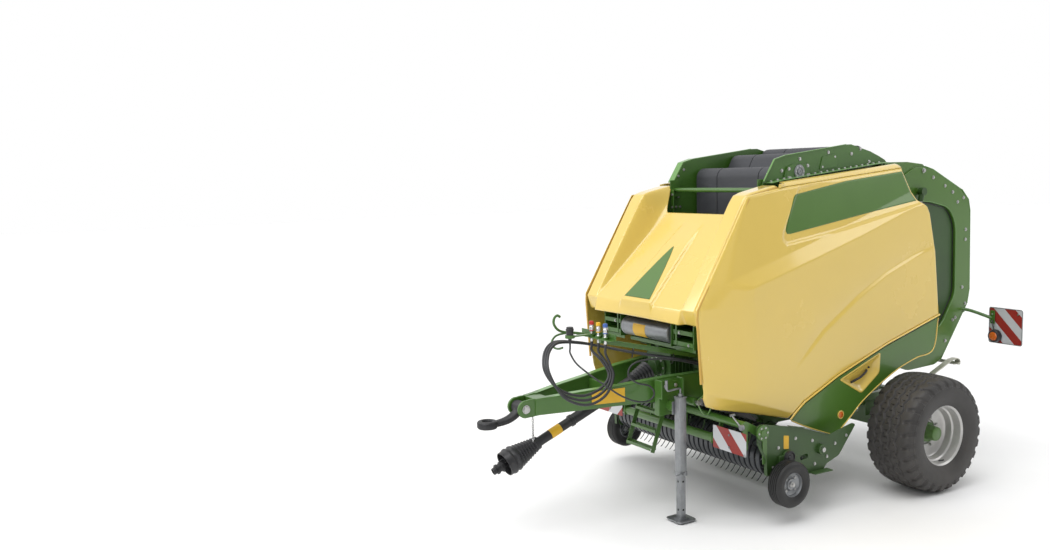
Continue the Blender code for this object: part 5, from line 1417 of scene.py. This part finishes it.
# the box is in the dark green: painted shade
piece("front_cross_box", work, GREEN_PAINTED_SHADE, "chassis", bevel=0.004)
work = bmesh.new()
add_box(work, (0, GEARBOX.y + 0.02, GEARBOX.z), (0.33, 0.27, 0.29))
add_box(work, (0, GEARBOX.y + 0.02, GEARBOX.z + 0.1), (0.34, 0.28, 0.025))
add_rod(work, (0, GEARBOX.y - 0.115, GEARBOX.z), (0, GEARBOX.y - 0.14, GEARBOX.z), 0.11, 32)
add_rod(work, (0, GEARBOX.y - 0.14, GEARBOX.z), (0, GEARBOX.y - 0.195, GEARBOX.z), 0.068, 28)
for k in range(5):
    add_box(work, (0.168, GEARBOX.y - 0.06 + 0.04 * k, GEARBOX.z), (0.008, 0.008, 0.2))
# the gearbox is in the dark green: painted shade
piece("gearbox_body", work, GREEN_PAINTED_SHADE, "chassis", bevel=0.006, replaces=["gearbox"])
work = bmesh.new()
for k in range(8):
    a = 2 * math.pi * k / 8
    add_bolt(work, (0.09 * math.cos(a), GEARBOX.y - 0.14, GEARBOX.z + 0.09 * math.sin(a)), (0, -1, 0), 0.008,
        0.007)
piece("gearbox_bolts", work, BOLT, "chassis", smooth=30)


# ---- ladder ----
work = bmesh.new()
low, high = Vector((-2.31, 0.46)), Vector((-2.13, 0.97))
lean = (high - low).normalized()
for x in (-0.24, 0.12):
    add_beam(work, (x, *low), (x, *high), 0.006, 0.045)
for k in range(3):
    at = low.lerp(high, 0.06 + 0.3 * k)
    for shift in (-0.03, 0.03):
        add_beam(work, (-0.238, at.x + shift, at.y), (0.118, at.x + shift, at.y), 0.005, 0.026)
    for j in range(11):
        x = -0.22 + j * 0.032
        add_beam(work, (x, at.x - 0.032, at.y + 0.006), (x, at.x + 0.032, at.y + 0.006), 0.01, 0.005)
    add_beam(work, (-0.23, at.x, at.y + 0.004), (0.11, at.x, at.y + 0.004), 0.008, 0.005)
add_box(work, (-0.06, -2.13, 0.965), (0.385, 0.055, 0.05))
piece("ladder_steps", work, GREEN, "chassis", bevel=0.0012, segments=1, replaces=["ladder"])


# ---- jack ----
def square_tube(work, x, y, low, high, outer, wall, corner):
    """An upright square tube with rounded corners, open at both ends."""
    loops = []
    for half, z in ((outer / 2, low), (outer / 2, high), (outer / 2 - wall, high), (outer / 2 - wall, low)):
        outline = rounded([(x - half, y - half), (x + half, y - half), (x + half, y + half),
            (x - half, y + half)], corner, 3)
        loops.append([work.verts.new((px, py, z)) for px, py in outline])
    loft(work, loops, closed=True)


JACK = Vector((0.6, -2.385, 0))
work = bmesh.new()
square_tube(work, JACK.x, JACK.y, 0.4, 1.068, 0.075, 0.005, 0.012)
add_box(work, (JACK.x, JACK.y, 1.066), (0.078, 0.078, 0.008))
add_rod(work, (JACK.x, JACK.y, 1.068), (JACK.x, JACK.y, 1.095), 0.02, 24)
add_box(work, (JACK.x - 0.0405, JACK.y, 0.97), (0.007, 0.11, 0.11))
square_tube(work, JACK.x, JACK.y, 0.396, 0.43, 0.081, 0.003, 0.013)
piece("jack_outer", work, ZINC, "jack_sleeve", smooth=12, replaces=["jack_sleeve"])
work = bmesh.new()
crank = smooth_path([(0.6, -2.385, 1.095), (0.6, -2.385, 1.128), (0.6, -2.395, 1.14), (0.6, -2.5, 1.134),
    (0.6, -2.522, 1.14), (0.6, -2.529, 1.16), (0.6, -2.532, 1.215)], 0.008)
add_pipe(work, crank, 0.0085, 12)
add_rod(work, (0.6, -2.532, 1.15), (0.6, -2.533, 1.225), 0.013, 16)
ring = [(0.643 + 0.01 * math.cos(a), JACK.y - 0.055 + 0.034 * math.sin(a),
    0.418 + 0.008 * math.cos(a)) for a in (2 * math.pi * k / 20 for k in range(20))]
add_pipe(work, ring, 0.004, 8, closed=True)
add_x_rod(work, 0.556, 0.65, JACK.y, 0.415, 0.0085, 14)
add_x_rod(work, 0.64, 0.652, JACK.y, 0.415, 0.014, 14)
piece("jack_crank", work, ZINC, "jack_sleeve", smooth=45)
work = bmesh.new()
square_tube(work, JACK.x, JACK.y, 0.01, 0.795, 0.06, 0.005, 0.009)
foot = rounded([(JACK.x - 0.1, JACK.y - 0.098), (JACK.x + 0.1, JACK.y - 0.098), (JACK.x + 0.1, JACK.y + 0.098),
    (JACK.x - 0.1, JACK.y + 0.098)], 0.045, 5)
loops = []
for scale, z in ((0.7, 0.0), (0.985, 0.014), (1.0, 0.02), (0.985, 0.022), (0.7, 0.009)):
    loops.append([work.verts.new((JACK.x + (px - JACK.x) * scale, JACK.y + (py - JACK.y) * scale, z)) for px,
        py in foot])
loft(work, loops)
add_box(work, (JACK.x, JACK.y, 0.015), (0.085, 0.085, 0.014))
piece("jack_inner", work, ZINC, "jack_leg", smooth=12, replaces=["jack_leg"])
# dark rods through the leg where its pin holes are: painted shade inside holes that are not cut
work = bmesh.new()
for z in (0.345, 0.1):
    add_x_rod(work, JACK.x - 0.0306, JACK.x + 0.0306, JACK.y, z, 0.0095, 18)
    add_rod(work, (JACK.x, JACK.y - 0.0306, z), (JACK.x, JACK.y + 0.0306, z), 0.0095, 18)
piece("jack_hole_shade", work, PAINTED_SHADE_BLACK, "jack_leg", smooth=30)


# ---- pickup sides, wind guard and warning plates ----
GUARD = Vector((0, -1.88, 0.775))
PICKUP_SIDE = [(-1.945, 0.83), (-1.9, 0.85), (-1.6, 0.79), (-1.4, 0.742), (-1.09, 0.64), (-0.8, 0.7),
    (-0.76, 0.68), (-0.967, 0.436), (-1.122, 0.385), (-1.17, 0.33), (-1.55, 0.33), (-1.83, 0.4), (-1.86, 0.55),
    (-1.94, 0.7)]
for side in (1, -1):
    name = side_name(side)
    work = bmesh.new()
    add_plate(work, rounded(PICKUP_SIDE, 0.02, 3), 1.036 * side, 0.008, [rounded([(-1.44, 0.465),
        (-1.35, 0.475), (-1.35, 0.515), (-1.44, 0.505)], 0.02, 4)])
    add_strip(work, [(-1.855, 0.41), (-1.863, 0.55), (-1.945, 0.7)], 1.055 * side, 0.036, 0.006)
    add_box(work, (1.05 * side, GAUGE_Y + 0.02, 0.43), (0.018, 0.085, 0.24))
    add_x_rod(work, 1.04 * side, 1.06 * side, -1.596, 0.526, 0.062, 28)
    add_x_rod(work, 1.04 * side, 1.072 * side, -1.201, 0.53, 0.045, 28)
    add_strip(work, [(-1.34, 0.345), (-1.12, 0.345)], 1.078 * side, 0.074, 0.008)
    add_strip(work, [(-1.6, 0.796), (-1.4, 0.748), (-1.1, 0.647)], 1.05 * side, 0.022, 0.005)
    # the pickup sides are in the dark green: painted shade
    piece("pickup_side_" + name, work, GREEN_PAINTED_SHADE, "pickup", bevel=0.002,
        replaces=["pickup_frame"])
    work = bmesh.new()
    for y, z in ((-1.7, 0.62), (-1.76, 0.46), (-1.3, 0.62), (-1.5, 0.67), (-1.12, 0.45), (-1.02, 0.55),
            (-0.88, 0.6), (-1.27, 0.41)):
        add_bolt(work, (1.04 * side, y, z), (side, 0, 0), 0.01, 0.009)
    add_bolt_circle(work, (1.052 * side, *GUARD.yz), 0.047, 6, side, 0.006, 0.006)
    add_x_rod(work, 1.072 * side, 1.086 * side, -1.201, 0.53, 0.02, 20)
    add_x_rod(work, 1.04 * side, 1.125 * side, GAUGE_Y, GAUGE_Z, 0.0155, 20)
    piece("pickup_bolts_" + name, work, BOLT, "pickup", smooth=30)
    work = bmesh.new()
    add_lathe(work, [(1.058, 0.0), (1.058, 0.058), (1.078, 0.056), (1.082, 0.046), (1.076, 0.04),
        (1.076, 0.022), (1.084, 0.018), (1.084, 0.0)], (0, -1.596, 0.526), 32, (side, 0, 0), closed=False)
    piece("pickup_cover_" + name, work, PLASTIC, "pickup", smooth=30)
    work = bmesh.new()
    add_plate(work, rounded([(-1.638, 0.6), (-1.638, 0.715), (-1.579, 0.705), (-1.579, 0.59)], 0.008, 3),
        1.0408 * side, 0.0012)
    piece("blank_label_pickup_" + name, work, LABEL, "pickup")
    work = bmesh.new()
    add_x_rod(work, 1.034 * side, 1.052 * side, *GUARD.yz, 0.066, 36)
    add_lathe(work, [(1.05, 0.0), (1.05, 0.03), (1.06, 0.03), (1.06, 0.0)], (0, *GUARD.yz), 24, (side, 0, 0),
        closed=False)
    add_box(work, (1.0445 * side, -1.86, 0.62), (0.008, 0.05, 0.22))
    piece("guard_boss_" + name, work, GREEN, "pickup", bevel=0.002)
    # wind guard arms, lever and warning plate
    work = bmesh.new()
    pivot_arm = rounded([(-1.845, 0.745), (-1.845, 0.805), (-1.9, 0.822), (-2.02, 0.885), (-2.055, 0.86),
        (-2.055, 0.63), (-1.995, 0.63), (-1.995, 0.8), (-1.9, 0.74)], 0.018, 3)
    add_plate(work, pivot_arm, 0.985 * side, 0.01)
    add_x_rod(work, 0.965 * side, 1.029 * side, *GUARD.yz, 0.026, 24)
    add_plate(work, rounded([(-2.068, 0.62), (-2.068, 0.72), (-1.99, 0.72), (-1.99, 0.62)], 0.012, 3),
        0.62 * side, 0.008)
    add_beam(work, (0.7 * side, -2.02, 0.845), (0.7 * side, -2.04, 0.66), 0.008, 0.04)
    add_beam(work, (0.24 * side, -2.02, 0.845), (0.24 * side, -2.03, 0.66), 0.008, 0.04)
    piece("guard_arms_" + name, work, GREEN, "wind_guard", bevel=0.0018)
    work = bmesh.new()
    plate = rounded([(0.65, 0.6), (0.65, 0.795), (1.05, 0.795), (1.05, 0.6)], 0.01, 3)
    add_panel(work, [(x * side, z) for x, z in plate], -2.07, 0.004)
    piece("hazard_plate_" + name, work, STRIPES[side], "wind_guard", bevel=0.001,
        replaces=["warning_plate_" + name])
    work = bmesh.new()
    for x, z in ((0.85, 0.745), (0.85, 0.64)):
        add_bolt(work, (x * side, -2.0725, z), (0, -1, 0), 0.007, 0.005)
    rim = [(1.035 * side + 0.01 * math.cos(a), -2.076,
        0.61 + 0.01 * math.sin(a)) for a in (2 * math.pi * k / 14 for k in range(14))]
    add_pipe(work, rim, 0.0022, 6, closed=True)
    lever = [(0.869 * side, -2.06, 0.915), (0.915 * side, -2.064, 0.885), (0.985 * side, -2.07, 0.843)]
    add_pipe(work, lever, 0.0085, 12, flat=0.6)
    add_rod(work, (0.993 * side, -2.055, 0.838), (0.993 * side, -2.078, 0.838), 0.024, 24)
    add_rod(work, (0.869 * side, -2.074, 0.915), (0.869 * side, -2.03, 0.915), 0.011, 16)
    piece("guard_lever_" + name, work, ZINC, "wind_guard", smooth=35)

work = bmesh.new()
add_x_rod(work, -0.985, 0.985, -2.02, 0.845, 0.033, 32)
add_x_rod(work, -0.985, 0.985, -2.025, 0.66, 0.038, 32)
add_box(work, (0, -2.035, 0.79), (0.4, 0.03, 0.05))
piece("guard_tubes", work, GREEN, "wind_guard", smooth=30, replaces=["wind_guard"])
work = bmesh.new()
for x in [-0.95 + 0.19 * k for k in range(11)]:
    hook = smooth_path([(x, -1.99, 0.66), (x, -1.955, 0.685), (x, -1.93, 0.735), (x, -1.935, 0.76)], 0.012)
    add_pipe(work, hook, 0.006, 8)
# the fingers are in the dark green: painted shade
piece("guard_fingers", work, GREEN_PAINTED_SHADE, "wind_guard", smooth=45)
work = bmesh.new()
add_x_rod(work, -1.032, 1.032, -1.16, 0.42, 0.044, 28)
for side in (1, -1):
    add_x_rod(work, 1.032 * side, 0.66 * side, -1.42, 0.66, 0.049, 28)
    add_x_rod(work, 0.67 * side, 0.655 * side, -1.42, 0.66, 0.07, 28)
# the cross tubes are in the dark green: painted shade
piece("pickup_cross_tubes", work, GREEN_PAINTED_SHADE, "pickup", smooth=30)


# ---- bale ramp ----
work = bmesh.new()
ramp = [(0.44, 0.75), (0.7, 0.915), (0.96, 1.015), (1.03, 1.022), (1.065, 1.01), (1.078, 0.985), (1.075, 0.96)]
for side in (1, -1):
    add_strip(work, ramp, 0.735 * side, 0.06, 0.01)
    add_x_rod(work, 0.61 * side, 0.76 * side, 0.43, 0.735, 0.02, 20)
    add_x_rod(work, 0.63 * side, 0.765 * side, 1.065, 0.968, 0.014, 16)
add_x_rod(work, -0.72, 0.72, 1.062, 0.966, 0.018, 20)
add_x_rod(work, -0.62, 0.62, 0.43, 0.735, 0.02, 20)
piece("ramp_bars", work, GALVANISED_PALE, "chassis", bevel=0.002, replaces=["bale_ramp"])


# ---- looks of the pieces that stay as modelled ----
for node_name in ("axle", "chassis_frame"):
    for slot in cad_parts[node_name].material_slots:
        slot.material = GREEN


# ---- floor and light ----
def stage_plane():
    mesh = bpy.data.meshes.new("floor")
    mesh.from_pydata([(-60, -60, 0), (60, -60, 0), (60, 60, 0), (-60, 60, 0)], [], [(0, 1, 2, 3)])
    floor = bpy.data.objects.new("floor", mesh)
    bpy.context.scene.collection.objects.link(floor)
    floor.location.z = -0.001
    mesh.materials.append(shaded("pale_floor", (0.86, 0.86, 0.86), 0.55, mottle=0.02, scale=0.7))


def area_light(name, place, target, size, energy):
    data = bpy.data.lights.new(name, "AREA")
    data.shape = "DISK"
    data.size = size
    data.energy = energy
    lamp = bpy.data.objects.new(name, data)
    lamp.location = place
    lamp.rotation_mode = "QUATERNION"
    lamp.rotation_quaternion = (Vector(target) - Vector(place)).to_track_quat("-Z", "Y")
    bpy.context.scene.collection.objects.link(lamp)


ROOM_LIGHT = 0.34
SUN_LIGHT = 1.7
WHITE_SIDE = (-0.82, 0.48, 0.32)
stage_plane()
world = bpy.data.worlds.new("studio")
world.use_nodes = True
sky = world.node_tree
direction = node(sky, "ShaderNodeTexCoord")
towards = node(sky, "ShaderNodeVectorMath", operation="DOT_PRODUCT")
towards.inputs[1].default_value = WHITE_SIDE
sky.links.new(direction.outputs["Generated"], towards.inputs[0])
fade = node(sky, "ShaderNodeMapRange")
fade.inputs["From Min"].default_value = -0.25
fade.inputs["From Max"].default_value = 0.45
fade.inputs["To Min"].default_value = ROOM_LIGHT
fade.inputs["To Max"].default_value = 1.0
sky.links.new(towards.outputs["Value"], fade.inputs["Value"])
sky.links.new(fade.outputs["Result"], sky.nodes["Background"].inputs["Strength"])
sky.nodes["Background"].inputs["Color"].default_value = (1, 1, 1, 1)
bpy.context.scene.world = world
bpy.context.scene.view_settings.view_transform = "Standard"
sun = bpy.data.lights.new("overhead", "SUN")
sun.energy = SUN_LIGHT
sun.angle = math.radians(50)
sun_lamp = bpy.data.objects.new("overhead", sun)
sun_lamp.rotation_mode = "QUATERNION"
sun_lamp.rotation_quaternion = Vector((-0.1, 0.38, -1.0)).to_track_quat("-Z", "Y")
bpy.context.scene.collection.objects.link(sun_lamp)
area_light("front", (3.5, -9.0, 5.0), (0, -1, 1.2), 5.0, 150)
area_light("side", (9.5, 1.0, 4.2), (0, 0.5, 1.2), 4.0, 12)
area_light("rear", (5.6, 6.0, 5.2), (0.8, 1.0, 2.2), 3.5, 70)
area_light("gloss", (-5.5, -7.0, 6.5), (0, -2.0, 2.2), 4.5, 190)
